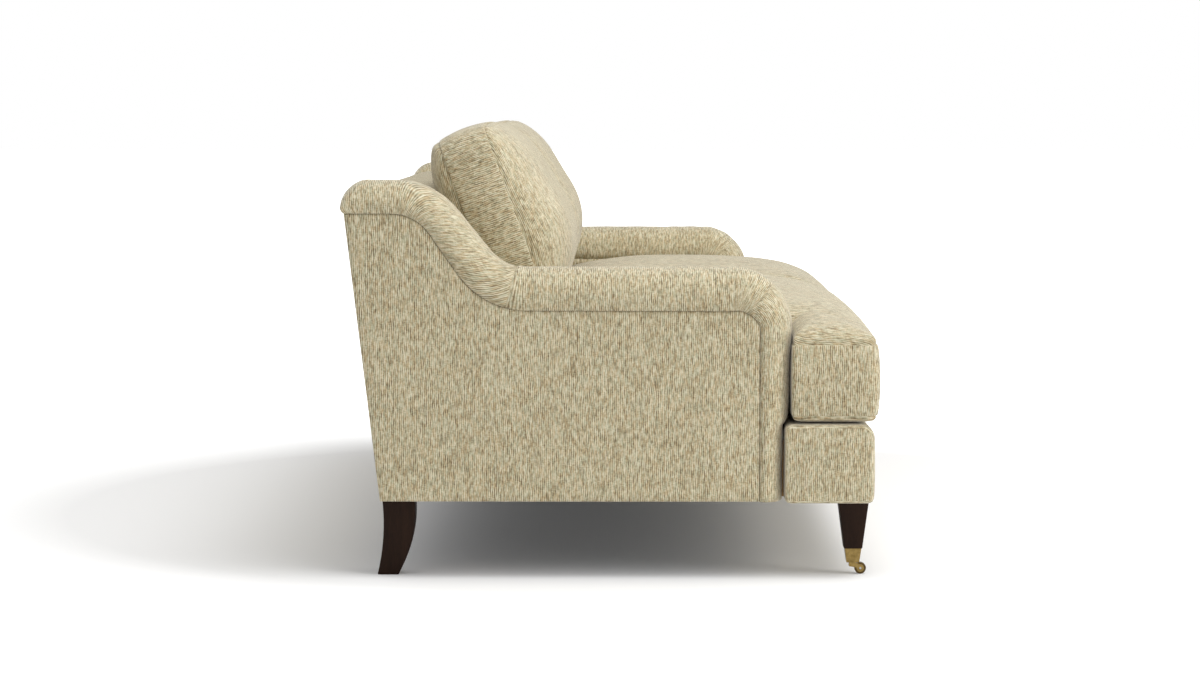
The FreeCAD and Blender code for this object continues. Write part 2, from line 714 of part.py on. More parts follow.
def dust_cover():
    """A thin cloth under the whole frame, cut round the legs and the feet of the arm rolls."""
    front_x = FRAME_OUTER
    arm_x = ARM_IN - GAP
    rear_x = ARM_OUT - PANEL_RECESS - PANEL - GAP
    roll_front = BORDER_REAR
    roll_rear = ARM_FRONT + ROLL_DEPTH + GAP
    rear = rear_y(ARM_BOTTOM) - BACK_PANEL - GAP
    half = [(front_x, FRONT_RAIL_FRONT), (front_x, roll_front), (arm_x, roll_front)]
    half += [(arm_x, roll_rear), (rear_x, roll_rear), (rear_x, rear)]
    points = half + [(-x, y) for x, y in reversed(half)]
    top = FRAME_BOTTOM - GAP
    cloth = plan_prism(points, top - DUST_CLOTH, top)
    half_leg = FRONT_LEG_TOP / 2 + GAP
    leg = box(LEG_X - half_leg, LEG_X + half_leg, BORDER_FRONT, FRONT_LEG_Y + half_leg, 0, top)
    post_front, post_rear = back_frame_y(ARM_BOTTOM) - GAP, rear_y(ARM_BOTTOM)
    post = box(FRAME_INNER - GAP, FRAME_OUTER + GAP, post_front, post_rear, 0, top)
    return cloth.cut([leg, post, mirrored(leg), mirrored(post)])


# Fixed upholstery


def side_rail_room():
    """The notch that the arm roll's foot leaves for the side rail, drawn as the roll is, from X 0."""
    return box(ARM_PAD, ARM_PAD + TIMBER + 2 * GAP, ARM_FRONT, REAR_ROLL, 0, RAIL_TOP + GAP)


def on_arm(shape):
    shape = shape.copy()
    shape.translate(V(ARM_IN, 0, 0))
    return shape


def arm_roll():
    return on_arm(roll_form(COVER + GAP).cut(side_rail_room()))


def arm_cover():
    return on_arm(roll_form(0.0).cut(roll_form(COVER)).cut(side_rail_room()))


def inside_arm_pad():
    x0, x1 = ARM_IN, FRAME_INNER - GAP
    rear = before_back_frame(x0, x1, DECK_BOTTOM, SHOULDER_TOP, PAD_REAR_OFFSET)
    return under_roll(x0, x1).common(rear)


def outside_arm_panel():
    outer = ARM_OUT - PANEL_RECESS
    return under_roll(outer - PANEL, outer)


def outside_back_panel():
    x = ARM_OUT - PANEL_RECESS - PANEL - GAP
    top = FRAME_TOP
    points = [(rear_y(ARM_BOTTOM), ARM_BOTTOM), (rear_y(top), top)]
    points += [(y - BACK_PANEL, z) for y, z in reversed(points)]
    return side_prism(points, -x, x)


def back_form(inset):
    """The inside back: a leaning pad that rolls over the top rail to the outside back."""
    x = ARM_IN - GAP
    front = inset / math.cos(LEAN)
    low, hook = BORDER_TOP + GAP, FRAME_TOP + GAP
    top, rear = BACK_TOP - inset, REAR_ROLL - inset
    points = [
        (inside_back_y(low) + front, low),
        (inside_back_y(top) + front, top),
        (rear, top),
        (rear, hook),
        (back_frame_y(hook) - PAD_REAR_OFFSET, hook),
        (back_frame_y(low) - PAD_REAR_OFFSET, low),
    ]
    radii = [0, BACK_FRONT_ROUND - inset, BACK_REAR_ROUND - inset, 0, 0, 0]
    return side_prism(points, -x, x, radii)


def inside_back_pad():
    return back_form(COVER + GAP)


def inside_back_cover():
    return back_form(0.0).cut(back_form(COVER))


def border_form(inset):
    """The front border's outer form: a bar with rounded edges that also passes in front of the arms."""
    x = ARM_OUT - BORDER_SIDE_INSET - inset
    y0, y1 = BORDER_FRONT + inset, BORDER_REAR - inset
    z0, z1 = BORDER_BOTTOM + inset, BORDER_TOP - inset
    radius = BORDER_ROUND - inset
    corners = [(y0, z0), (y0, z1), (y1, z1), (y1, z0)]
    profile = side_prism(corners, -x, x, [radius / 2, radius, radius, radius / 2])
    plan = plan_prism([(-x, y0), (x, y0), (x, y1), (-x, y1)], z0, z1, [radius] * 4)
    return profile.common(plan)


def border_cavity():
    """The room inside the border for the front rail, the rails behind it and the legs' heads."""
    x = FRAME_OUTER + GAP
    room = box(-x, x, FRONT_RAIL_FRONT - GAP, ARM_FRONT + ROLL_DEPTH, 0, DECK_BOTTOM)
    half = FRONT_LEG_TOP / 2 + GAP
    head = box(LEG_X - half, LEG_X + half, FRONT_LEG_Y - half, FRONT_LEG_Y + half, 0, FRAME_BOTTOM + GAP)
    return room.fuse([head, mirrored(head)])


def border_pad():
    return border_form(COVER + GAP).cut(border_cavity())


def border_cover():
    return border_form(0.0).cut(border_form(COVER)).cut(border_cavity())


def seat_deck():
    x = ARM_IN - GAP
    rear = back_frame_y(DECK_BOTTOM) - PAD_REAR_OFFSET
    return box(-x, x, BORDER_REAR + GAP, rear, DECK_BOTTOM, BORDER_TOP)


# Loose cushions


def rest_line_z(y, inset=0.0):
    """The height at y of the rear slope of the seat cushion's top, which the back cushion stands on."""
    rear_top = BORDER_TOP + CUSHION_REAR_RISE
    return rear_top + (CUSHION_REAR - y) * math.tan(LEAN) - inset / math.cos(LEAN)


def back_cushion_foot():
    """Where the rest line, a little raised, meets the inside back: the back cushion's lower rear corner."""
    up = V(0, math.sin(LEAN), math.cos(LEAN))
    out = V(0, -math.cos(LEAN), math.sin(LEAN))
    start = V(0, inside_back_y(0), 0)
    along = (V(0, CUSHION_REAR, rest_line_z(CUSHION_REAR)) - start).dot(up) + ZIP + GAP
    return start + up * along + out * BACK_CUSHION_REST


def seat_cushion_form(inset):
    """A cushion with an ear in front of the arm; its top is crowned both along and across the sofa."""
    x0 = CUSHION_SIDE_GAP / 2 + inset
    x1 = ARM_IN - CUSHION_SIDE_GAP - inset
    ear = ARM_OUT - BORDER_SIDE_INSET - inset
    y0, y1 = CUSHION_FRONT + inset, CUSHION_REAR - inset
    step = ARM_FRONT - CUSHION_SIDE_GAP - inset
    low = BORDER_TOP + GAP + inset
    edge, corner = CUSHION_EDGE - inset, CUSHION_CORNER - inset
    points = [(x0, y0), (ear, y0), (ear, step), (x1, step), (x1, y1), (x0, y1)]
    radii = [corner, corner, corner, CUSHION_NOTCH + inset, corner, corner]
    crown = BORDER_TOP + CUSHION_CROWN_RISE - inset
    plan = plan_prism(points, low, crown + CUSHION_EDGE, radii)
    rest_y = back_cushion_foot().y - (BACK_CUSHION_REAR_BULGE + BACK_CUSHION_BOXING) * math.cos(LEAN)
    points = [(y0, low), (y0, BORDER_TOP + CUSHION_FRONT_RISE - inset)]
    points += [(CUSHION_FRONT + CUSHION_CROWN_SETBACK, crown)]
    points += [(rest_y, rest_line_z(rest_y, inset)), (y1, rest_line_z(y1, inset)), (y1, low)]
    radii = [edge, CUSHION_FRONT_ROUND - inset, CUSHION_CROWN_ROUND - inset]
    radii += [CUSHION_REST_ROUND - inset, CUSHION_REAR_ROUND - inset, edge]
    side = side_prism(points, x0, ear, radii)
    points = [(x0, low), (x0, BORDER_TOP + CUSHION_INNER_RISE - inset), ((x0 + x1) / 2, crown + CUSHION_EDGE)]
    points += [(ear, BORDER_TOP + CUSHION_EAR_RISE - inset), (ear, low)]
    side_round = CUSHION_SIDE_ROUND - inset
    front = front_prism(points, y0, y1, [edge, side_round, CUSHION_CROWN_ROUND - inset, side_round, edge])
    return plan.common(side).common(front)


def seat_cushion_cover():
    return seat_cushion_form(0.0).cut(seat_cushion_form(CUSHION_COVER))


def seat_cushion_core():
    return seat_cushion_form(CUSHION_COVER + GAP)


def seat_cushion_zip():
    middle, half = ARM_IN / 2, SEAT_ZIP_LENGTH / 2
    low = BORDER_TOP + SEAT_ZIP_RISE
    return box(middle - half, middle + half, CUSHION_REAR, CUSHION_REAR + ZIP, low, low + ZIP_WIDTH)


def leaned(shape):
    """Carries a shape drawn upright at the origin, thickness along -Y, to its place on the inside back."""
    shape = shape.copy()
    shape.rotate(ORIGIN, ALONG, -BACK_LEAN)
    shape.translate(back_cushion_foot())
    return shape


def back_cushion_form(inset):
    """A boxed cushion whose front and back bulge out past the seams of its boxing."""
    x0 = CUSHION_SIDE_GAP / 2 + inset
    x1 = ARM_IN - BACK_CUSHION_SIDE_GAP - inset
    rear_seam = -BACK_CUSHION_REAR_BULGE
    front_seam = rear_seam - BACK_CUSHION_BOXING
    front = front_seam - BACK_CUSHION_FRONT_BULGE + inset
    low, high = inset, BACK_CUSHION_HEIGHT - inset
    middle = BACK_CUSHION_HEIGHT / 2
    crest = ((rear_seam + front_seam) / 2, high + BACK_CUSHION_TOP_CROWN)
    arcs = [
        ((rear_seam, low), (-inset, middle), (rear_seam, high)),
        ((rear_seam, high), crest, (front_seam, high)),
        ((front_seam, high), (front, middle), (front_seam, low)),
    ]
    edges = [Part.Arc(*[V(x0, y, z) for y, z in arc]).toShape() for arc in arcs]
    edges.append(Part.LineSegment(V(x0, front_seam, low), V(x0, rear_seam, low)).toShape())
    side = Part.Face(Part.Wire(edges)).extrude(V(x1 - x0, 0, 0))
    points = [(x0, rear_seam), (x0, front_seam), (x0 + BACK_CUSHION_FRONT_TAPER, front)]
    points += [(x1 - BACK_CUSHION_FRONT_TAPER, front), (x1, front_seam), (x1, rear_seam)]
    points += [(x1 - BACK_CUSHION_REAR_TAPER, -inset), (x0 + BACK_CUSHION_REAR_TAPER, -inset)]
    corner, bend = BACK_CUSHION_CORNER - inset, BACK_CUSHION_TAPER_ROUND - inset
    radii = [corner, corner, bend, bend] * 2
    plan = plan_prism(points, -GAP, BACK_CUSHION_HEIGHT + BACK_CUSHION_TOP_CROWN + GAP, radii)
    return leaned(side.common([plan], TOUCH))


def back_cushion_cover():
    return back_cushion_form(0.0).cut(back_cushion_form(CUSHION_COVER))


def back_cushion_core():
    return back_cushion_form(CUSHION_COVER + GAP)


def back_cushion_zip():
    middle, half = ARM_IN / 2, BACK_ZIP_LENGTH / 2
    return leaned(box(middle - half, middle + half, -BACK_ZIP_DEPTH - ZIP_WIDTH, -BACK_ZIP_DEPTH, -ZIP, 0))


SINGLE_PIECES = {
    "front_rail": front_rail,
    "back_rail": back_rail,
    "centre_rail": centre_rail,
    "back_top_rail": back_top_rail,
    "back_tack_rail": back_tack_rail,
    "arm_tack_rails": arm_tack_rails,
    "corner_blocks": corner_blocks,
    "leg_bolts": leg_bolts,
    "caster_screws": caster_screws,
    "seat_springs": seat_springs,
    "spring_clips": spring_clips,
    "back_webbing": back_webbing,
    "spring_hessian": spring_hessian,
    "dust_cover": dust_cover,
    "outside_back_panel": outside_back_panel,
    "inside_back_pad": inside_back_pad,
    "inside_back_cover": inside_back_cover,
    "border_pad": border_pad,
    "border_cover": border_cover,
    "seat_deck": seat_deck,
}

PAIRED_PIECES = {
    "side_rail": side_rail,
    "back_post": back_post,
    "arm_board": arm_board,
    "arm_stump": arm_stump,
    "front_leg": front_leg,
    "rear_leg": rear_leg,
    "caster_cup": caster_cup,
    "caster_fork": caster_fork,
    "caster_axle": caster_axle,
    "caster_wheel": caster_wheel,
    "arm_roll": arm_roll,
    "arm_cover": arm_cover,
    "inside_arm_pad": inside_arm_pad,
    "outside_arm_panel": outside_arm_panel,
    "seat_cushion_cover": seat_cushion_cover,
    "seat_cushion_core": seat_cushion_core,
    "seat_cushion_zip": seat_cushion_zip,
    "back_cushion_cover": back_cushion_cover,
    "back_cushion_core": back_cushion_core,
    "back_cushion_zip": back_cushion_zip,
}


def main():
    os.makedirs("parts", exist_ok=True)
    for name, make in SINGLE_PIECES.items():
        save(name, make())
    for name, make in PAIRED_PIECES.items():
        both_sides(name, make())


main()
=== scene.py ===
"""English roll arm sofa: covers, cushions, stitching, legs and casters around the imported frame.

Metres throughout. X runs along the sofa, the front faces -Y, Z is up from the floor. Every shape is
worked out for the right side, +X, and a side of -1 gives the mirror piece on the left.
"""

import json
import math
import bpy
import bmesh
import numpy as np
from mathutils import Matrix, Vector


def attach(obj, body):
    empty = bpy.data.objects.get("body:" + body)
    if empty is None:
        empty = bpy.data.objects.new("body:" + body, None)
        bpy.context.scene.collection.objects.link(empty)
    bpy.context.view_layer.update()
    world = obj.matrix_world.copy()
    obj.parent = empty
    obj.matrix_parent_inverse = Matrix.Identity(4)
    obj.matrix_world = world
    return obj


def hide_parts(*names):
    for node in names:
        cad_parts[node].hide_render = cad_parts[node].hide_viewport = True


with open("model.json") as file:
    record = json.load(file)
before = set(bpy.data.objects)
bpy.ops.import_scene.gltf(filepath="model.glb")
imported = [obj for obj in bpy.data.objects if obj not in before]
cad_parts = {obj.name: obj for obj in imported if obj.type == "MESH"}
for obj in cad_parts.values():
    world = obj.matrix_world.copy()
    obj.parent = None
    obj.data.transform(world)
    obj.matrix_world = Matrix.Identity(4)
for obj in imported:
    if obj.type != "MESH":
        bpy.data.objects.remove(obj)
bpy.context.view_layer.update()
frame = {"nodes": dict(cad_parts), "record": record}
pi = math.pi

# Overall form, as the frame has it
ARM_OUT = 1.050
ARM_IN = 0.894
ARM_WIDTH = ARM_OUT - ARM_IN
ARM_TOP = 0.5855
ARM_FRONT = -0.336
ARM_BOTTOM = 0.146
SHOULDER_TOP = 0.750
ROLL_REAR = 0.514
PANEL_X = 1.044
BACK_TOP = 0.729
LEAN = math.radians(20)
REAR_BOTTOM, REAR_RAKE = 0.438, 0.064 / 0.534
BORDER_TOP = 0.292
DECK_BOTTOM = 0.266
SIDE_NAMES = {-1: "_left", 1: "_right", 0: ""}

WHITE, BLACK = (1, 1, 1, 1), (0, 0, 0, 1)
# How far apart the random shades of neighbouring yarns are read
YARN_APART = 7.31

# How far from a seam the nearest rows of a cover's mesh are
SEAM_STEPS = (0.0015, 0.0035, 0.0075, 0.0135)

# The outline of the arm: corners as (y, z), and the radius of each bend
SLOPE_HEAD_Y = 0.205 + (SHOULDER_TOP - ARM_TOP) / math.tan(math.radians(51))
ARM_CORNERS = (
    (ROLL_REAR, SHOULDER_TOP), (SLOPE_HEAD_Y, SHOULDER_TOP), (0.205, ARM_TOP),
    (ARM_FRONT, ARM_TOP), (ARM_FRONT, ARM_BOTTOM),
)
ARM_BENDS = (0, 0.150, 0.085, 0.110, 0)


def linear(*tint):
    """A colour given as 0 to 255 on a screen, as the linear colour that a shader takes."""
    value = np.array(tint, float) / 255
    value = np.where(value <= 0.04045, value / 12.92, ((value + 0.055) / 1.055) ** 2.4)
    return (*value.tolist(), 1.0)


def ease(value, low, high):
    """0 below low, 1 above high, and a smooth rise between."""
    t = np.clip((value - low) / (high - low), 0, 1)
    return t * t * (3 - 2 * t)


def bump(value, centre, width):
    """A bell of height 1 at centre."""
    return np.exp(-(((value - centre) / width) ** 2))


def rear_y(z):
    """The raked outside back's depth at height z."""
    return REAR_BOTTOM + (z - ARM_BOTTOM) * REAR_RAKE


def inside_back_y(z):
    """The leaning inside back's front face at height z."""
    return 0.353 - (BACK_TOP - z) * math.tan(LEAN)


def ripple(a, b, seed, length, count=5):
    """A smooth random field from -1 to 1 over two lengths: a sum of sines in seeded directions."""
    draw = np.random.default_rng(seed)
    angle, phase = draw.uniform(0, pi, count), draw.uniform(0, 2 * pi, count)
    pitch = 2 * pi / (length * draw.uniform(0.7, 1.5, count))
    waves = [np.sin((a * np.cos(t) + b * np.sin(t)) * k + p) for t, k, p in zip(angle, pitch, phase)]
    return sum(waves) / count


def spread(lengths):
    """Numbers that add up the given steps, from 0."""
    return np.concatenate([[0.0], np.cumsum(lengths)])


def run_length(points):
    """The distance along a line of points to each of them."""
    return spread(np.linalg.norm(np.diff(points, axis=0), axis=1))


def closed(points, axis=0):
    """Points with the first one again at the end."""
    return np.concatenate([points, np.take(points, [0], axis)], axis)


def unit(ways):
    """Directions at a length of 1."""
    return ways / np.linalg.norm(ways, axis=-1, keepdims=True)


def turned(ways):
    """The unit direction on the right hand of each direction in a plane."""
    ways = unit(ways)
    return np.stack([ways[:, 1], -ways[:, 0]], -1)


def along(places, at, values):
    """Values carried by places, read at other places: one interpolation for each column."""
    return np.stack([np.interp(places, at, column) for column in np.asarray(values).T], -1)


def rounded_path(corners, bends, step=0.004):
    """Points along straight runs that are joined by tangent arcs of the given radii."""
    points = [np.array(corners[0])]
    for i in range(1, len(corners) - 1):
        corner, radius = np.array(corners[i]), bends[i]
        back, on = unit(np.array(corners[i - 1]) - corner), unit(np.array(corners[i + 1]) - corner)
        half = math.acos(np.clip(back @ on, -1, 1)) / 2
        centre = corner + unit(back + on) * radius / math.sin(half)
        start = corner + back * radius / math.tan(half) - centre
        end = corner + on * radius / math.tan(half) - centre
        a = math.atan2(start[1], start[0])
        turn = (math.atan2(end[1], end[0]) - a + pi) % (2 * pi) - pi
        sweep = a + turn * np.linspace(0, 1, max(3, int(abs(turn) * radius / step)))
        points += list(centre + radius * np.stack([np.cos(sweep), np.sin(sweep)], -1))
    points.append(np.array(corners[-1]))
    points = np.array(points)
    length = run_length(points)
    even = np.linspace(0, length[-1], int(length[-1] / step) + 1)
    return along(even, length, points)


# Meshes


def lattice(points, uv, wrap=False):
    """Points of a grid as a list, its quads, and each quad corner's place on the cloth.

    points is rows by columns by 3, and uv has one column more where the grid closes on itself.
    """
    rows, columns = points.shape[:2]
    i, j = np.meshgrid(np.arange(rows - 1), np.arange(columns - (not wrap)), indexing="ij")
    j2 = (j + 1) % columns
    row, below = i * columns, (i + 1) * columns
    quads = np.stack([row + j, row + j2, below + j2, below + j], -1)
    cloth = np.stack([uv[i, j], uv[i, j + 1], uv[i + 1, j + 1], uv[i + 1, j]], -2)
    return points.reshape(-1, 3), quads.reshape(-1, 4), cloth.reshape(-1, 4, 2)


def tube(rings, uv, caps=True):
    """Rings of points joined into a closed form; the first and last ring are closed with a flat face."""
    points, quads, cloth = lattice(rings, uv, wrap=True)
    count = rings.shape[1]
    ends = []
    if caps:
        ends = [np.arange(count), np.arange(count) + (rings.shape[0] - 1) * count]
    return points, quads, cloth, ends


def piece(name, parts, material, body, replaced=(), levels=0, side=1, crease=None):
    """One finished object from parts of points, quads, cloth places and end faces.
    """
    points, corners, totals, cloth, shift = [], [], [], [], 0
    for part in parts:
        at, quads, places = part[:3]
        points.append(at)
        corners.append((quads + shift).ravel())
        totals.append(np.full(len(quads), quads.shape[1]))
        cloth.append(places.reshape(-1, 2))
        for end in part[3] if len(part) > 3 else ():
            corners.append(end + shift)
            totals.append([len(end)])
            cloth.append(at[end][:, 1:3])
        shift += len(at)
    at = np.concatenate(points) * (side, 1, 1)
    corners, totals, cloth = np.concatenate(corners), np.concatenate(totals), np.concatenate(cloth)
    mesh = bpy.data.meshes.new(name)
    mesh.vertices.add(len(at))
    mesh.vertices.foreach_set("co", at.ravel())
    mesh.loops.add(len(corners))
    mesh.loops.foreach_set("vertex_index", corners.astype(np.int32))
    mesh.polygons.add(len(totals))
    mesh.polygons.foreach_set("loop_start", spread(totals[:-1]).astype(np.int32))
    mesh.update(calc_edges=True)
    mesh.uv_layers.new(name="cloth").data.foreach_set("uv", cloth.ravel().astype(np.float32))
    if crease is not None:
        flags = np.zeros(len(at), bool)
        flags[crease] = True
        ends = np.zeros(len(mesh.edges) * 2, np.int32)
        mesh.edges.foreach_get("vertices", ends)
        sharp = flags[ends.reshape(-1, 2)].all(1)
        layer = mesh.attributes.new("crease_edge", "FLOAT", "EDGE")
        layer.data.foreach_set("value", np.where(sharp, 0.9, 0.0))
    work = bmesh.new()
    work.from_mesh(mesh)
    if crease is None:
        bmesh.ops.remove_doubles(work, verts=work.verts, dist=2e-6)
    bmesh.ops.recalc_face_normals(work, faces=work.faces)
    work.to_mesh(mesh)
    work.free()
    mesh.polygons.foreach_set("use_smooth", np.ones(len(mesh.polygons), bool))
    made = bpy.data.objects.new(name, mesh)
    bpy.context.scene.collection.objects.link(made)
    mesh.materials.append(material)
    if levels:
        smooth = made.modifiers.new("smooth", "SUBSURF")
        smooth.levels = smooth.render_levels = levels
        smooth.uv_smooth = "PRESERVE_BOUNDARIES"
    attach(made, body)
    if replaced:
        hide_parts(*replaced)
    return made


def fixed_cover(name, parts, replaced, side=0):
    """A fabric cover on the frame that stands for the frame's own padded pieces; 0 is the middle."""
    end = SIDE_NAMES[side]
    piece(name + end, parts, FABRIC, "frame", [one + end for one in replaced],
          side=side or 1)


# Materials


def shader_node(tree, kind, inputs=None, **settings):
    """A node with its settings; an input is a value, or another node's output to link."""
    made = tree.nodes.new("ShaderNode" + kind)
    for key, value in settings.items():
        setattr(made, key, value)
    for key, value in (inputs or {}).items():
        if isinstance(value, bpy.types.NodeSocket):
            tree.links.new(value, made.inputs[key])
        else:
            made.inputs[key].default_value = value
    return made


def math_node(tree, operation, *values):
    """The result of one sum on values or outputs."""
    return shader_node(tree, "Math", dict(enumerate(values)), operation=operation).outputs[0]


def map_range(tree, value, low, high, to_low=0.0, to_high=1.0):
    """The value's place between low and high, as a number from to_low to to_high."""
    return shader_node(tree, "MapRange", {0: value, 1: low, 2: high, 3: to_low, 4: to_high}).outputs[0]


def mix_colour(tree, share, first, second):
    """The first colour where share is 0 and the second where it is 1."""
    return shader_node(tree, "Mix", {0: share, 6: first, 7: second}, data_type="RGBA").outputs[2]


def send(tree, go, **values):
    """Links values to the outputs of a group."""
    for key, value in values.items():
        tree.links.new(value, go.inputs[key])


def scaled_noise(tree, vector, scale, detail=2.0, rough=0.5):
    """Noise whose size differs along each axis: scale is features in a metre."""
    mapping = shader_node(tree, "Mapping", {"Vector": vector, "Scale": scale})
    made = shader_node(tree, "TexNoise", {"Vector": mapping.outputs[0], "Scale": 1.0, "Detail": detail,
                                          "Roughness": rough})
    return made.outputs["Fac"]


def weigh(tree, terms, start=0.0):
    """start plus each value less one half, times its weight."""
    total = start - sum(weight for _, weight in terms) * 0.5
    for value, weight in terms:
        total = math_node(tree, "MULTIPLY_ADD", value, weight, total)
    return total


def group(name, inputs, outputs):
    """An empty shader group with named inputs and outputs: its tree, its inputs and its end node."""
    tree = bpy.data.node_groups.new(name, "ShaderNodeTree")
    for label, value in {"Vector": None, **inputs}.items():
        kind = "Vector" if value is None else "Float" if isinstance(value, float) else "Color"
        socket = tree.interface.new_socket(label, in_out="INPUT", socket_type="NodeSocket" + kind)
        if value is not None:
            socket.default_value = value
    for label in outputs:
        kind = "Color" if label == "Color" else "Float"
        tree.interface.new_socket(label, in_out="OUTPUT", socket_type="NodeSocket" + kind)
    return tree, tree.nodes.new("NodeGroupInput").outputs, tree.nodes.new("NodeGroupOutput")


def yarn_tint(tree, across, along_yarn, waver, count, length, seed):
    """A random shade for each yarn of a set, changing along it, and the rise over each yarn's width.

    across times count, rounded down, numbers the yarns; length is changes of shade in a metre of yarn.
    """
    place = math_node(tree, "MULTIPLY_ADD", across, count, waver)
    number = math_node(tree, "MULTIPLY_ADD", math_node(tree, "FLOOR", place), YARN_APART, seed)
    run = math_node(tree, "MULTIPLY", along_yarn, length)
    spot = shader_node(tree, "CombineXYZ", {0: number, 1: run, 2: seed}).outputs[0]
    tint = shader_node(tree, "TexNoise", {"Vector": spot, "Scale": 1.0, "Detail": 1.0}).outputs["Fac"]
    return tint, math_node(tree, "PINGPONG", place, 0.5)


def weave_group():
    """Heathered slub cloth: yarns one way with uneven shades, finer picks across them, and two hues."""
    tree, come, go = group("slub weave", {"Light": WHITE, "Base": WHITE, "Dark": WHITE, "Second": WHITE},
                           ["Color", "Height", "Roughness"])
    at = come["Vector"]
    u, v, _ = shader_node(tree, "SeparateXYZ", {0: at}).outputs
    waver = math_node(tree, "MULTIPLY", scaled_noise(tree, at, (26, 16, 1), 1.0), 1.9)
    yarn, ridge = yarn_tint(tree, u, v, waver, 525.0, 80.0, 3.7)
    slub, stripe = yarn_tint(tree, u, v, waver, 275.0, 64.0, 21.1)
    pick, knot = yarn_tint(tree, v, u, waver, 500.0, 180.0, 9.3)
    hue, _ = yarn_tint(tree, u, v, waver, 525.0, 60.0, 40.9)
    fluff = scaled_noise(tree, at, (620, 420, 1), 1.0)
    broad = scaled_noise(tree, at, (12, 6, 1), 2.0)
    terms = [(yarn, 1.40), (slub, 0.28), (stripe, 1.10), (pick, 0.55), (fluff, 0.25), (broad, 0.14)]
    value = weigh(tree, terms, 0.775)
    ground = mix_colour(tree, map_range(tree, hue, 0.40, 0.60), come["Base"], come["Second"])
    shade = mix_colour(tree, map_range(tree, value, 0.05, 0.50), come["Dark"], ground)
    send(tree, go, Color=mix_colour(tree, map_range(tree, value, 0.50, 0.95), shade, come["Light"]),
         Height=weigh(tree, [(ridge, 0.8), (knot, 0.5), (slub, 0.9), (fluff, 0.5)], 0.5),
         Roughness=map_range(tree, value, 0.0, 1.0, 0.98, 0.88))
    return tree


def crossing_group():
    """Plain weave: threads over and under in both directions, with uneven thickness and shade."""
    tree, come, go = group("plain weave", {"Pitch": 500.0, "Thread": WHITE, "Gap": BLACK},
                           ["Color", "Height"])
    at = come["Vector"]
    bend = scaled_noise(tree, at, (40, 40, 40), 2.0)
    axes = shader_node(tree, "SeparateXYZ", {0: at}).outputs
    places = [math_node(tree, "MULTIPLY_ADD", axes[k], come["Pitch"], bend) for k in (0, 1)]
    sets = [math_node(tree, "PINGPONG", place, 0.5) for place in places]
    height = map_range(tree, math_node(tree, "MAXIMUM", *sets), 0.1, 0.45)
    mixed = math_node(tree, "MULTIPLY", height, scaled_noise(tree, at, (60, 300, 60), 3.0))
    mixed = map_range(tree, mixed, 0.05, 0.55)
    send(tree, go, Color=mix_colour(tree, mixed, come["Gap"], come["Thread"]), Height=height)
    return tree


def grain_group():
    """Wood: long fibres, growth lines bent by noise, and open pores."""
    tree, come, go = group("wood grain", {"Light": WHITE, "Dark": BLACK, "Size": 1.0},
                           ["Color", "Height"])
    sized = {0: come["Vector"], "Scale": come["Size"]}
    at = shader_node(tree, "VectorMath", sized, operation="SCALE").outputs[0]
    rings = scaled_noise(tree, at, (45, 45, 3.5), 3.0, 0.55)
    fibre = scaled_noise(tree, at, (900, 900, 22), 2.0, 0.6)
    pores = map_range(tree, scaled_noise(tree, at, (1500, 1500, 60), 1.0), 0.62, 0.75)
    value = math_node(tree, "MULTIPLY_ADD", pores, -0.5, weigh(tree, [(rings, 1.3), (fibre, 0.8)], 0.5))
    value = shader_node(tree, "Clamp", {0: value}).outputs[0]
    send(tree, go, Color=mix_colour(tree, value, come["Dark"], come["Light"]), Height=value)
    return tree


def metal_group():
    """Aged metal: cloudy tarnish, fine brushed lines, and a duller colour where it is tarnished."""
    tree, come, go = group("aged metal", {"Bright": WHITE, "Tarnish": BLACK},
                           ["Color", "Height", "Roughness"])
    at = come["Vector"]
    lines = scaled_noise(tree, at, (300, 300, 3500), 2.0)
    value = weigh(tree, [(scaled_noise(tree, at, (90, 90, 90), 4.0, 0.6), 1.6), (lines, 0.4)], 0.5)
    value = shader_node(tree, "Clamp", {0: value}).outputs[0]
    send(tree, go, Color=mix_colour(tree, value, come["Bright"], come["Tarnish"]), Height=lines,
         Roughness=map_range(tree, value, 0.0, 1.0, 0.22, 0.48))
    return tree


WEAVE, CROSSING, GRAIN, METAL = weave_group(), crossing_group(), grain_group(), metal_group()


def material(name, tree_group, values, uv=False, relief=0.0, depth=0.001, **surface):
    """A Principled surface whose colour, roughness and relief come from one group.

    A colour among the values is given as 0 to 255 on a screen.
    """
    made = bpy.data.materials.new(name)
    made.use_nodes = True
    tree = made.node_tree
    tree.nodes.clear()
    if uv:
        at = shader_node(tree, "UVMap", uv_map="cloth").outputs["UV"]
    else:
        at = shader_node(tree, "TexCoord").outputs["Object"]
    effect = tree.nodes.new("ShaderNodeGroup")
    effect.node_tree = tree_group
    tree.links.new(at, effect.inputs["Vector"])
    for key, value in values.items():
        effect.inputs[key].default_value = linear(*value) if isinstance(value, tuple) else value
    settings = {key.replace("_", " "): value for key, value in surface.items()}
    shader = shader_node(tree, "BsdfPrincipled", settings)
    tree.links.new(effect.outputs["Color"], shader.inputs["Base Color"])
    if "Roughness" in effect.outputs:
        tree.links.new(effect.outputs["Roughness"], shader.inputs["Roughness"])
    if relief:
        ridges = {"Strength": relief, "Distance": depth, "Height": effect.outputs["Height"]}
        tree.links.new(shader_node(tree, "Bump", ridges).outputs[0], shader.inputs["Normal"])
    shader_node(tree, "OutputMaterial", {"Surface": shader.outputs[0]})
    return made


FABRIC = material(
    "slub chenille", WEAVE,
    {"Light": (222, 214, 188), "Base": (188, 168, 130), "Dark": (116, 100, 74), "Second": (180, 176, 146)},
    uv=True, relief=0.40, depth=0.0007, Sheen_Weight=0.34, Sheen_Roughness=0.50, Sheen_Tint=WHITE,
    Specular_IOR_Level=0.2)


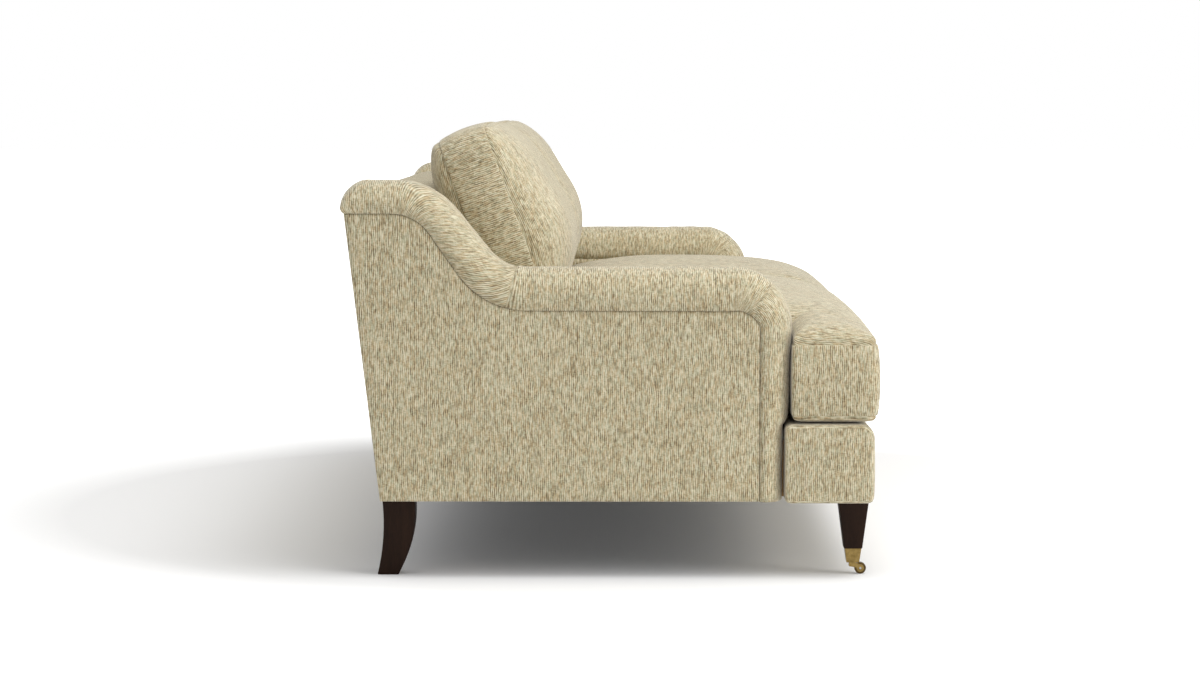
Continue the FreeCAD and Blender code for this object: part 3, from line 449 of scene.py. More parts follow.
def plain_weave(name, pitch, thread, gap, relief, depth, uv=False, **surface):
    """A cloth of crossing threads; pitch is threads in a metre."""
    values = {"Pitch": pitch, "Thread": thread, "Gap": gap}
    return material(name, CROSSING, values, uv, relief, depth, **surface)


def worn_metal(name, bright, tarnish):
    """A bare metal with tarnish in patches."""
    values = {"Bright": bright, "Tarnish": tarnish}
    return material(name, METAL, values, relief=0.05, depth=0.0002, Metallic=1.0)


LINING = plain_weave("platform cloth", 700.0, (196, 187, 160), (120, 110, 86), 0.3, 0.0005, uv=True,
                     Roughness=0.95, Specular_IOR_Level=0.2)
THREAD = plain_weave("sewing thread", 2600.0, (216, 206, 176), (170, 156, 122), 0.2, 0.0003, uv=True,
                     Roughness=0.7, Specular_IOR_Level=0.3)
ZIP_CLOTH = plain_weave("zip tape", 1100.0, (176, 164, 132), (120, 108, 80), 0.3, 0.0003, Roughness=0.75)
JUTE = plain_weave("jute webbing", 420.0, (186, 160, 118), (96, 76, 48), 0.6, 0.0008, Roughness=0.9)
HESSIAN = plain_weave("hessian", 330.0, (178, 148, 104), (70, 54, 34), 0.6, 0.0008, Roughness=0.95)
DUST_CLOTH = plain_weave("spunbond cloth", 900.0, (38, 38, 38), (18, 18, 18), 0.3, 0.0004, Roughness=0.9)
LEG_WOOD = material(
    "dark stained wood", GRAIN, {"Light": (47, 30, 20), "Dark": (23, 13, 8), "Size": 1.0},
    relief=0.12, depth=0.0003, Roughness=0.5, Specular_IOR_Level=0.08, Coat_Weight=0.02,
    Coat_Roughness=0.25)
TIMBER = material(
    "planed timber", GRAIN, {"Light": (205, 170, 122), "Dark": (150, 112, 70), "Size": 0.6},
    relief=0.2, depth=0.0004, Roughness=0.7)
BRASS = worn_metal("aged brass", (166, 142, 88), (104, 84, 46))
# The wheels' brass is darker than the casters' because shade from under the sofa is painted into its
# colour; only its tarnish patches are the metal's own.
PAINTED_SHADE_BRASS = worn_metal("wheel brass with painted shade", (112, 92, 58), (56, 44, 28))
STEEL = worn_metal("zinc plated steel", (196, 197, 200), (140, 141, 142))

# Camera, lamps and floor

FLOOR_REACH = 60.0


def aim(made, direction):
    made.rotation_mode = "QUATERNION"
    made.rotation_quaternion = Vector(direction).to_track_quat("-Z", "Y")


def photograph_camera():
    """Stands off the sofa's left end, level with the cushions' tops, and looks along it."""
    lens = bpy.data.cameras.new("camera")
    lens.sensor_width = 36.0
    lens.lens = 87.77
    lens.clip_end = 200
    made = bpy.data.objects.new("camera", lens)
    made.location = (-6.509, -0.0082, 0.8792)
    pitch, yaw = math.radians(4.423), math.radians(0.329)
    aim(made, (math.cos(pitch) * math.cos(yaw), math.cos(pitch) * math.sin(yaw), -math.sin(pitch)))
    bpy.context.scene.collection.objects.link(made)
    bpy.context.scene.camera = made


def area_lamp(name, place, target, size, power):
    lamp = bpy.data.lights.new(name, "AREA")
    lamp.shape = "SQUARE"
    lamp.size = size
    lamp.energy = power
    made = bpy.data.objects.new(name, lamp)
    made.location = place
    aim(made, Vector(target) - Vector(place))
    bpy.context.scene.collection.objects.link(made)


def camera_white(tree, seen, unseen):
    """One value for what the camera, reflections and glass see, and another for the light on things."""
    path = shader_node(tree, "LightPath").outputs
    shows = math_node(tree, "MAXIMUM", path["Is Camera Ray"], path["Is Glossy Ray"])
    shows = math_node(tree, "MAXIMUM", shows, path["Is Transmission Ray"])
    return map_range(tree, shows, 0.0, 1.0, unseen, seen)


def studio():
    """A white surround, two soft lamps in front and above, and a pale floor that keeps the shadow."""
    world = bpy.data.worlds.new("surround")
    world.use_nodes = True
    tree = world.node_tree
    sky = tree.nodes["Background"]
    tree.links.new(camera_white(tree, 1.0, 0.60), sky.inputs["Strength"])
    sky.inputs["Color"].default_value = WHITE
    bpy.context.scene.world = world
    area_lamp("key_lamp", (-1.4, -1.2, 4.8), (0, 0, 0.2), 3.2, 138)
    area_lamp("front_lamp", (-2.6, -4.9, 2.0), (0, 0, 0.4), 3.0, 100)

    floor_paint = bpy.data.materials.new("pale floor")
    floor_paint.use_nodes = True
    tree = floor_paint.node_tree
    tree.nodes.clear()
    diffuse = shader_node(tree, "BsdfDiffuse", {"Color": (0.93, 0.93, 0.93, 1)}).outputs[0]
    at = shader_node(tree, "TexCoord").outputs["Object"]
    apart = shader_node(tree, "VectorMath", {0: at}, operation="LENGTH").outputs["Value"]
    far = map_range(tree, apart, 1.2, 2.3, 0.03)
    white = math_node(tree, "MULTIPLY", camera_white(tree, 1.0, 0.0), far)
    glow = shader_node(tree, "Emission", {"Color": WHITE, "Strength": white}).outputs[0]
    both = shader_node(tree, "AddShader", {0: diffuse, 1: glow}).outputs[0]
    shader_node(tree, "OutputMaterial", {"Surface": both})
    mesh = bpy.data.meshes.new("floor")
    corners = ((-1, -1), (1, -1), (1, 1), (-1, 1))
    mesh.from_pydata([(x * FLOOR_REACH, y * FLOOR_REACH, 0) for x, y in corners], [], [(0, 1, 2, 3)])
    mesh.materials.append(floor_paint)
    floor = bpy.data.objects.new("floor", mesh)
    bpy.context.scene.collection.objects.link(floor)


bpy.context.scene.view_settings.view_transform = "Standard"
photograph_camera()
studio()

# Arms

ROLL_PLACES = (0, 0.104, 0.238, 0.338, 0.413, 0.804, 0.890, 0.977, 1.145, 1.153, 1.165, 1.306)
SEAM_DEPTHS = (0.062, 0.062, 0.066, 0.073, 0.079, 0.080, 0.073, 0.0585, 0.0585, 0.0585, 0.0585, 0.0585)
ROLL_PROUD = (0, 0, 0, 0, 0, 0, 0.002, 0.004, -0.002, -0.004, -0.0125, -0.0145)
CROSS_SEAM = 0.395
MITRE = 0.890
REAR_ROUND = 0.056


def arm_lines():
    """The outward sides of the arm's outer line, how far along each point is, and the seam line."""
    outer = rounded_path(ARM_CORNERS, ARM_BENDS, 0.003)
    normals = turned(np.gradient(outer, axis=0))
    places = run_length(outer)
    seam = outer - normals * np.interp(places, ROLL_PLACES, SEAM_DEPTHS)[:, None]
    return normals, places, seam


OUTER_SIDES, ARM_PLACES, SEAM_LINE = arm_lines()
CAP_ROLL = 0.0012


def arm_roll(side):
    """The roll over the arm: a squarish half round whose height over the seam line changes on its way.

    The half round is x = w |cos a|^0.8 and h = t sin(a)^0.8. It tucks in at both seams, its rear end
    rounds off, and gathers and pleats stand on it where the outline bends.
    """
    base = np.arange(CAP_ROLL, ARM_PLACES[-1], 0.0075)
    fine = np.concatenate([c + np.linspace(-0.007, 0.007, 13) for c in (CROSS_SEAM, MITRE)])
    s = np.unique(np.concatenate([base, fine, np.linspace(CAP_ROLL, REAR_ROUND, 16), [ARM_PLACES[-1]]]))
    s = s[np.concatenate([[True], np.diff(s) > 4e-4])]
    seam, normal = along(s, ARM_PLACES, SEAM_LINE), along(s, ARM_PLACES, OUTER_SIDES)
    tall = np.interp(s, ROLL_PLACES, np.add(SEAM_DEPTHS, ROLL_PROUD))
    a = np.linspace(0, pi, 57)[None, :]
    s2 = s[:, None]
    power = 0.8
    across = np.sign(np.cos(a)) * np.abs(np.cos(a)) ** power
    up = np.abs(np.sin(a)) ** power
    t = np.clip((REAR_ROUND - s2) / REAR_ROUND, 0, 1)
    shrink = (1 - t ** 2.2) ** 0.45
    lump = 0.0011 * ripple(s2, a * 0.05, 4 + side, 0.09) + 0.0007 * ripple(s2, a * 0.05, 9 + side, 0.035)
    pleats = bump(s2, 0.905, 0.035) + 0.7 * bump(s2, 0.165, 0.045)
    low_side = np.exp(-((np.minimum(a, pi - a) / 0.75) ** 2))
    lump += 0.0012 * pleats * low_side * np.cos((s2 - 0.905 + 0.02 * a) * 2 * pi / 0.0125)
    lump -= 0.0022 * bump(s2, CROSS_SEAM, 0.0022) - 0.0006 * bump(s2, CROSS_SEAM + 0.007, 0.004)
    lump -= 0.0026 * bump(s2, MITRE, 0.0026) * ease(pi - a, pi * 0.42, pi * 0.62)
    half = ARM_WIDTH / 2
    high = (tall[:, None] + lump) * up * shrink
    tuck = 0.0065 * np.exp(-high / 0.006) + 0.0012 * np.exp(-high / 0.03)
    x = ARM_OUT - half + across * (half + lump - tuck)
    y = seam[:, :1] + normal[:, :1] * high - 0.011 * np.exp(-high / 0.007) * t
    z = seam[:, 1:] + normal[:, 1:] * high
    top = np.stack([x, y, z], -1)
    share = np.linspace(0, 1, 14)[1:-1][None, :, None]
    under = top[:, -1:] * (1 - share) + top[:, :1] * share
    rings = np.concatenate([top, under], 1)
    around = grid_reach(closed(rings, 1))[1]
    down = np.broadcast_to(s2, around.shape)
    lean = -0.81 * ease(s2, 0.105, 0.235) * (s2 < CROSS_SEAM)
    cut = down < MITRE
    uv = np.stack([np.where(cut, down + lean * around, around + 0.7), np.where(cut, around, down)], -1)
    uv += (2.0 + side, 0.3)
    fixed_cover("arm_roll_upholstery", [tube(rings, uv)], ["arm_roll", "arm_cover"], side)


def under_seam_lattice(rear, low, p, q, tuck=0.0):
    """Depths and heights of a grid under the arm's seam line.

    p goes from the rear line to the front seam and q from the lower edge to the seam line over it.
    """
    front = SEAM_LINE[-1, 0]
    line = SEAM_LINE[:np.argmax(SEAM_LINE[:, 0] <= front + 2e-4)]
    share = (rear(line[:, 1]) - line[:, 0]) / (rear(line[:, 1]) - front)
    top = np.interp(p, share, line[:, 1] - tuck)[:, None]
    z = low + q[None, :] * (top - low)
    y = rear(z) + p[:, None] * (front - rear(z))
    return y, z


def edged(length, cell=0.010):
    """Shares of a length, closer together at both ends."""
    return steps(length, cell) / length


def slab(place, cloth, depth, direction=(1, 0, 0)):
    """A thin pad: a face, the same grid set back by depth, and the edge wall between them.

    place holds the grids of x, y and z, and cloth the two of the face's place on the cloth.
    """
    face, uv = np.stack(place, -1), np.stack(cloth, -1)
    back = face - np.array(direction) * depth
    rim, rim_uv = (np.concatenate([grid[:-1, 0], grid[-1, :-1], grid[:0:-1, -1], grid[0, :0:-1]])
                   for grid in (face, uv))
    rim_back = rim - np.array(direction) * depth
    wall_uv = np.stack([rim_uv, rim_uv + (0.0, depth)])
    wall = lattice(np.stack([rim, rim_back]), closed(wall_uv, 1), wrap=True)
    return [lattice(face, uv), lattice(back, uv), wall]


def grid_reach(points):
    """How far along its column, then along its row, each point of a grid is."""
    return [np.pad(np.cumsum(np.linalg.norm(np.diff(points, axis=axis), axis=2), axis),
                   [(1 - axis, 0), (axis, 0)]) for axis in (0, 1)]


def edge_distance(y, z):
    """How far each grid point is from the nearest edge of the grid, along its rows and columns."""
    reaches = grid_reach(np.stack([y, z], -1))
    return np.minimum.reduce(reaches + [reach.max(axis, keepdims=True) - reach
                                        for axis, reach in enumerate(reaches)])


def outside_arm(side):
    """The flat outside of the arm: a thinly padded board that swells a little and tucks at its edges."""
    p, q = edged(0.80), edged(0.45)
    y, z = under_seam_lattice(rear_y, ARM_BOTTOM, p, q)
    d = edge_distance(y, z)
    x = PANEL_X + 0.0018 * (1 - np.exp(-d / 0.05)) - 0.005 * np.exp(-d / 0.0028)
    x = x + 0.0007 * ripple(y, z, 21 + side, 0.16) * ease(d, 0, 0.05)
    pad = slab((x, y, z), (y + 5 + side, z), 0.008)
    fixed_cover("outside_arm_cover", pad, ["outside_arm_panel"], side)


def inside_arm(side):
    """The padded inside of the arm, from the deck up to the roll and back past the inside back."""
    p, q = edged(0.62, 0.014), edged(0.24, 0.014)
    y, z = under_seam_lattice(lambda h: inside_back_y(h) + 0.045, DECK_BOTTOM, p, q)
    d = edge_distance(y, z)
    x = ARM_IN + 0.0005 + 0.006 * np.exp(-d / 0.004) + 0.0015 * np.exp(-d / 0.04)
    x = x + 0.0006 * ripple(y, z, 31 + side, 0.13) * ease(d, 0, 0.05)
    pad = slab((x, y, z), (y + 8 + side, z), -0.055)
    fixed_cover("inside_arm_cover", pad, ["inside_arm_pad"], side)


# Back and border


def swept(profile, sides, xs, inset, uv_shift):
    """A profile carried along X, set in by inset at each x along its outward sides."""
    rings = profile[None] - sides[None] * inset[:, None, None]
    x = np.broadcast_to(xs[:, None, None], (*rings.shape[:2], 1))
    points = np.concatenate([x, rings], -1)
    places = run_length(closed(profile))
    around = np.broadcast_to(places[None], (len(xs), len(places)))
    uv = np.stack([np.broadcast_to(xs[:, None], around.shape), around], -1) + uv_shift
    return points, uv


def closed_profile(corners, bends, step):
    """A closed outline through corners with rounded bends, and its outward sides."""
    middle = (np.array(corners[0]) + np.array(corners[-1])) / 2
    line = rounded_path([middle, *corners, middle], [0, *bends, 0], step)[:-1]
    sides = turned(np.roll(line, -1, 0) - np.roll(line, 1, 0))
    if np.mean(np.sum(sides * (line - line.mean(0)), 1)) < 0:
        sides = -sides
    return line, sides


def inside_back():
    """The leaning inside back, rolled over the top rail down to the outside back."""
    low, hook = 0.2925, 0.681
    lean = 0.060 / math.cos(LEAN) - 0.006
    corners = [
        (inside_back_y(low), low), (inside_back_y(BACK_TOP), BACK_TOP), (0.508, BACK_TOP), (0.506, hook),
        (inside_back_y(hook) + lean, hook), (inside_back_y(low) + lean, low),
    ]
    profile, sides = closed_profile(corners, [0.012, 0.050, 0.042, 0.006, 0.004, 0.004], 0.008)
    reach = ARM_IN - 0.0006
    xs = np.concatenate([[-reach], np.linspace(-reach + 0.0015, reach - 0.0015, 200), [reach]])
    inset = 0.004 * np.exp(-(reach - np.abs(xs)) / 0.006)
    points, uv = swept(profile, sides, xs, inset, (11.0, 0.2))
    swell = 0.0012 * ripple(points[..., 0], points[..., 2] + points[..., 1], 41, 0.2)
    points[..., 1:] += sides[None] * (swell * (points[..., 2] > 0.3))[..., None]
    fixed_cover("inside_back_upholstery", [tube(points, uv)], ["inside_back_cover", "inside_back_pad"])


def outside_back():
    """The outside back: one stretched cloth from arm to arm that closes the frame behind."""
    ends = np.linspace(0.985, 1, 6)
    x = np.concatenate([-ends[::-1], np.linspace(-0.98, 0.98, 120), ends])
    z = np.concatenate([[0, 0.004, 0.01], np.linspace(0.02, 0.98, 50), [0.99, 0.996, 1]])
    half, top = 1.0355, 0.6875
    x, z = np.meshgrid(x * half, ARM_BOTTOM + z * (top - ARM_BOTTOM), indexing="ij")
    d = edge_distance(x, z)
    y = rear_y(z) + 0.002 * (1 - np.exp(-d / 0.05)) - 0.004 * np.exp(-d / 0.003)
    y = y + 0.0008 * ripple(x, z, 51, 0.25)
    pad = slab((x, y, z), (x + 14, z), 0.005, (0, 1, 0))
    fixed_cover("outside_back_cover", pad, ["outside_back_panel"])


def front_border():
    """The padded bar under the cushions: a rounded oblong carried along X, with soft rounded ends."""
    y0, y1, z0, z1 = -0.493, -0.3250, 0.142, BORDER_TOP
    corners = [(y0, z0), (y0, z1), (y1, z1), (y1, z0)]
    profile, sides = closed_profile(corners, [0.010, 0.026, 0.011, 0.009], 0.0055)
    reach, turn = 1.0462, 0.015
    angle = np.linspace(0, pi / 2, 9)[1:]
    end = reach - turn * (1 - np.sin(angle))
    xs = np.concatenate([-end[::-1], np.linspace(-reach + turn, reach - turn, 260)[1:-1], end])
    gone = np.clip((np.abs(xs) - reach + turn) / turn, 0, 1)
    inset = turn * 0.42 * (1 - np.sqrt(1 - gone ** 2))
    points, uv = swept(profile, sides, xs, inset, (17.0, 0.1))
    here = np.clip(points[..., 2], z0, z1)
    swell = 0.0022 * np.sin(pi * (here - z0) / (z1 - z0))
    swell = swell + 0.0012 * ripple(points[..., 0], here, 61, 0.11)
    points[..., 1:] += sides[None] * (swell * (1 - gone[:, None]) * (points[..., 1] < -0.345))[..., None]
    middle = np.array([(y0 + y1) / 2, (z0 + z1) / 2])
    share = np.array([0.97, 0.92, 0.84, 0.72, 0.55, 0.35, 0.15])
    ends = []
    for ring, way in ((points[0], -1), (points[-1], 1)):
        flat = middle + (ring[None, :, 1:] - middle) * share[:, None, None]
        x = ring[0, 0] + way * 0.0035 * (1 - share[:, None, None] ** 2)
        cap = np.concatenate([np.broadcast_to(x, (*flat.shape[:2], 1)), flat], -1)
        ends.append(np.concatenate([ring[None], cap]))
    parts = [tube(points, uv, caps=False)]
    for rings, shift in zip(ends, (20.0, 23.0)):
        at, quads, cloth, caps = tube(rings, closed(rings, 1)[..., 1:] + (shift, 0.0))
        parts.append((at, quads, cloth, caps[1:]))
    fixed_cover("front_border_upholstery", parts, ["border_cover", "border_pad"])


def deck():
    """The platform that the seat cushions lie on: a thin pad, a little crowned, with softened edges."""
    half, front, rear = 0.8934, -0.3245, 0.247
    x, y = edged(1.79, 0.02) * 2 - 1, edged(0.57, 0.02)
    x, y = np.meshgrid(x * half, front + y * (rear - front), indexing="ij")
    d = edge_distance(x, y)
    z = BORDER_TOP - 0.0006 - 0.004 * np.exp(-d / 0.006) - 0.0012 * bump(y, -0.235, 0.003)
    pad = slab((x, y, z), (x + 26, y), 0.0225, (0, 0, 1))
    piece("seat_platform", pad, LINING, "frame", ["seat_deck"])


# Loose cushions

SEAM_SINK = 0.0017
CELL = 0.013
CROWN_Y, CROWN_TOP = -0.19, 0.5335
# The cloth simulation: pressure, frames, the most a point may move, and the wall's share of that
PRESSURE, FRAMES, MOST_SWELL, WALL_SWELL = 3.0, 20, 0.004, 0.3


def squared(lengths, corner):
    """Rounds one corner of a square grid: a square with its corner at 0, 0 becomes a quarter disc.

    The mapping is u sqrt(1 - v^2 / 2), v sqrt(1 - u^2 / 2), for u and v from 0 inside to 1 on the edge.
    """
    dx, dy = lengths
    inside = (dx < corner) & (dy < corner)
    u, v = 1 - dx / corner, 1 - dy / corner
    return (np.where(inside, corner * (1 - u * np.sqrt(np.maximum(1 - v * v / 2, 0))), dx),
            np.where(inside, corner * (1 - v * np.sqrt(np.maximum(1 - u * u / 2, 0))), dy))


def round_corner(x, y, sign_x, edge_x, sign_y, edge_y, corner, part=True):
    """A grid with one corner rounded: the signs say which way the grid lies from the two edges."""
    dx, dy = (x - edge_x) * sign_x, (y - edge_y) * sign_y
    near = (dx > -1e-9) & (dy > -1e-9) & part
    sx, sy = squared((dx, dy), corner)
    return np.where(near, edge_x + sign_x * sx, x), np.where(near, edge_y + sign_y * sy, y)


def steps(length, cell):
    """Places from 0 to length: close together at both ends, by the seams, and cell apart between."""
    near = np.array([0, *SEAM_STEPS[:-1]])
    span = length - 2 * SEAM_STEPS[-1]
    inner = SEAM_STEPS[-1] + np.linspace(0, span, max(2, int(span / cell) + 1))
    return np.concatenate([near, inner, length - near[::-1]])


def panel_ring(index, depth, notch):
    """The grid's closed line that is depth rows in from its edge, round a notch in its far corner."""
    k, end = depth, -1 - depth
    if notch is None:
        return np.concatenate([index[k:end, k], index[end, k:end], index[end:k:-1, end],
                               index[k, end:k:-1]])
    i, j = notch[0] - k, notch[1] - k
    return np.concatenate([index[k:end, k], index[end, k:j], index[end:i:-1, j], index[i, j:end],
                           index[i:k:-1, end], index[k, end:k:-1]])


def cloth_lengths(points):
    """How far each point of a grid is from the grid's two middle lines, along the cloth itself."""
    return np.stack([reach - np.take(reach, [points.shape[axis] // 2], axis)
                     for axis, reach in enumerate(grid_reach(points))], -1)


def sewn_shell(loop, quads, upper, lower, walls, flat, cloths, heights, shift):
    """A closed cushion mesh: an upper and a lower panel on the same grid, and a wall between their edges.

    flat is each panel point's place on the grid, and cloths its place on the cloth above and below.
    Returns the part for a piece, with every point shared, and the point numbers of the wall's rings.
    """
    count, ring = len(upper), len(loop)
    points = np.concatenate([upper, lower, walls.reshape(-1, 3)])
    rows = [2 * count + k * ring + np.arange(ring) for k in range(len(walls))]
    rings = np.array([loop, *rows, loop + count])
    around = run_length(closed(flat[loop]))
    cloth = np.stack(np.broadcast_arrays(around, heights[:, None]), -1)
    _, wall, wall_cloth = lattice(rings[..., None], cloth, wrap=True)
    wall = rings.ravel()[wall]
    cloth = [cloths[0][quads], cloths[1][quads] + (0.0, 3.0), wall_cloth + (6.0, 0.0)]
    return (points, np.concatenate([quads, quads + count, wall]), np.concatenate(cloth) + shift), rings


def wall_shares(height, count):
    """Shares down a wall, close together by both seams; the seams themselves are left out."""
    return steps(height, (height - 2 * SEAM_STEPS[-1]) / count)[1:-1] / height


def rise(distance, width, power=2.2):
    """A rounded rise from 0 at a seam to 1 at width from it: (1 - (1 - d)^p)^(1/p)."""
    return (1 - (1 - np.clip(distance / width, 0, 1)) ** power) ** (1 / power)


def outline_frame(ring):
    """The outward side of each point of a closed outline, and how far round it the point is."""
    return turned(np.roll(ring, -1, 0) - np.roll(ring, 1, 0)), run_length(closed(ring))[:-1]


def read_points(mesh, kind="vertices", value="co"):
    """Three numbers for each of a mesh's points: where it lies, or its normal."""
    numbers = np.zeros(len(mesh.vertices) * 3, np.float32)
    getattr(mesh, kind).foreach_get(value, numbers)
    return numbers.reshape(-1, 3).astype(float)


def plump(made, held, free):
    """Lets the cover swell under pressure between its held seams, and caps how far a point may move.

    free is the share of its movement that each point keeps, 0 by a seam and 1 out on a panel.
    """
    pins = made.vertex_groups.new(name="seams")
    pins.add(held.tolist(), 1.0, "REPLACE")
    rest = read_points(made.data)
    cloth = made.modifiers.new("cloth", "CLOTH")
    settings = cloth.settings
    settings.quality = 4
    settings.mass = 0.3
    settings.tension_stiffness = settings.compression_stiffness = 15
    settings.shear_stiffness = 5
    settings.bending_stiffness = 1.5
    settings.use_pressure = True
    settings.uniform_pressure_force = PRESSURE
    settings.effector_weights.gravity = 0
    settings.vertex_group_mass = "seams"
    cloth.collision_settings.use_collision = False
    cloth.point_cache.frame_end = FRAMES
    made.modifiers.move(len(made.modifiers) - 1, 0)
    for step in made.modifiers[1:]:
        step.show_viewport = False
    scene = bpy.context.scene
    for number in range(1, FRAMES + 1):
        scene.frame_set(number)
    shown = made.evaluated_get(bpy.context.evaluated_depsgraph_get())
    moved = read_points(shown.data)
    made.modifiers.remove(cloth)
    for step in made.modifiers:
        step.show_viewport = True
    scene.frame_set(1)
    way = moved - rest
    far = np.linalg.norm(way, axis=1, keepdims=True)
    way *= np.tanh(far / MOST_SWELL) * MOST_SWELL / np.maximum(far, 1e-9) * free[:, None]
    made.data.vertices.foreach_set("co", (rest + way).ravel())
    made.data.update()


def seam_points(made, ring):
    """Where a ring of the mesh's points lies now, and which way the cloth faces there."""
    return read_points(made.data)[ring], read_points(made.data, "vertex_normals", "vector")[ring]


def stitches(name, line, facing, body, pitch=0.0075, length=0.0056, thick=0.0007, lift=0.0001):
    """Thread stitches along a closed line: each is a short arched yarn that dives into the cloth."""
    line = closed(line)
    places = run_length(line)
    count = int(places[-1] / pitch)
    at = (np.arange(count) + 0.5) * places[-1] / count
    spot = along(at, places, line)
    out = along(at, places, closed(facing))
    ahead, behind = (along((at + by) % places[-1], places, line) for by in (0.002, -0.002))
    ahead = unit(ahead - behind)
    out = unit(out - ahead * np.sum(out * ahead, 1, keepdims=True))
    wide = np.cross(ahead, out)
    t = np.linspace(-1, 1, 5)
    turn = np.arange(6) * pi / 3
    radius = thick / 2 * np.sqrt(1 - 0.85 * t ** 4)
    centre = spot[:, None] + ahead[:, None] * (t * length / 2)[None, :, None]
    centre = centre + out[:, None] * (lift - thick * 0.9 * t ** 2)[None, :, None]
    turn = turn[None, None, :, None]
    ring = np.cos(turn) * out[:, None, None] + np.sin(turn) * wide[:, None, None]
    points = (centre[:, :, None] + ring * radius[None, :, None, None]).reshape(-1, 3)
    i, j = np.meshgrid(np.arange(4), np.arange(6), indexing="ij")
    k = (j + 1) % 6
    one = np.stack([i * 6 + j, i * 6 + k, (i + 1) * 6 + k, (i + 1) * 6 + j], -1).reshape(-1, 4)
    quads = (one[None] + 30 * np.arange(count)[:, None, None]).reshape(-1, 4)
    ends = np.array([[0, 1, 2, 3], [0, 3, 4, 5], [24, 25, 26, 27], [24, 27, 28, 29]])
    quads = np.concatenate([quads, (ends[None] + 30 * np.arange(count)[:, None, None]).reshape(-1, 4)])
    uv = np.zeros((len(quads), 4, 2))
    uv[..., 0] = points[quads][..., 0]
    uv[..., 1] = points[quads][..., 1] + points[quads][..., 2]
    piece(name, [(points, quads, uv)], THREAD, body)


def sew_cushion(kind, stitched, side, index, notch, quads, panels, walls, flat, cloths, share, depth,
                dist, shift):
    """Joins a cushion's two panels and its wall, lets it swell, and stitches beside its first seam.

    share is how far across the wall each of its rows is, depth the wall's, and dist each panel
    point's distance from the nearest seam.
    """
    name = SIDE_NAMES[side]
    body = kind + name
    loop = panel_ring(index, 0, notch)
    heights = np.concatenate([[0], share, [1]]) * depth
    part, rings = sewn_shell(loop, quads, *panels, walls, flat, cloths, heights, shift)
    stands_for = [kind + "_cover" + name, kind + "_core" + name]
    made = piece(body, [part], FABRIC, body, stands_for, levels=1,
                 side=side, crease=np.concatenate([rings[0], rings[-1]]))
    beside = panel_ring(index, 1, notch)
    held = np.concatenate([*rings[[0, 1, -2, -1]], beside, beside + len(panels[0])])
    on_wall = WALL_SWELL * np.sin(pi * np.repeat(share, len(loop)))
    plump(made, held, np.concatenate([ease(dist, 0.012, 0.07)] * 2 + [on_wall]))
    stitches(stitched + name, *seam_points(made, panel_ring(index, 3, notch)), body)


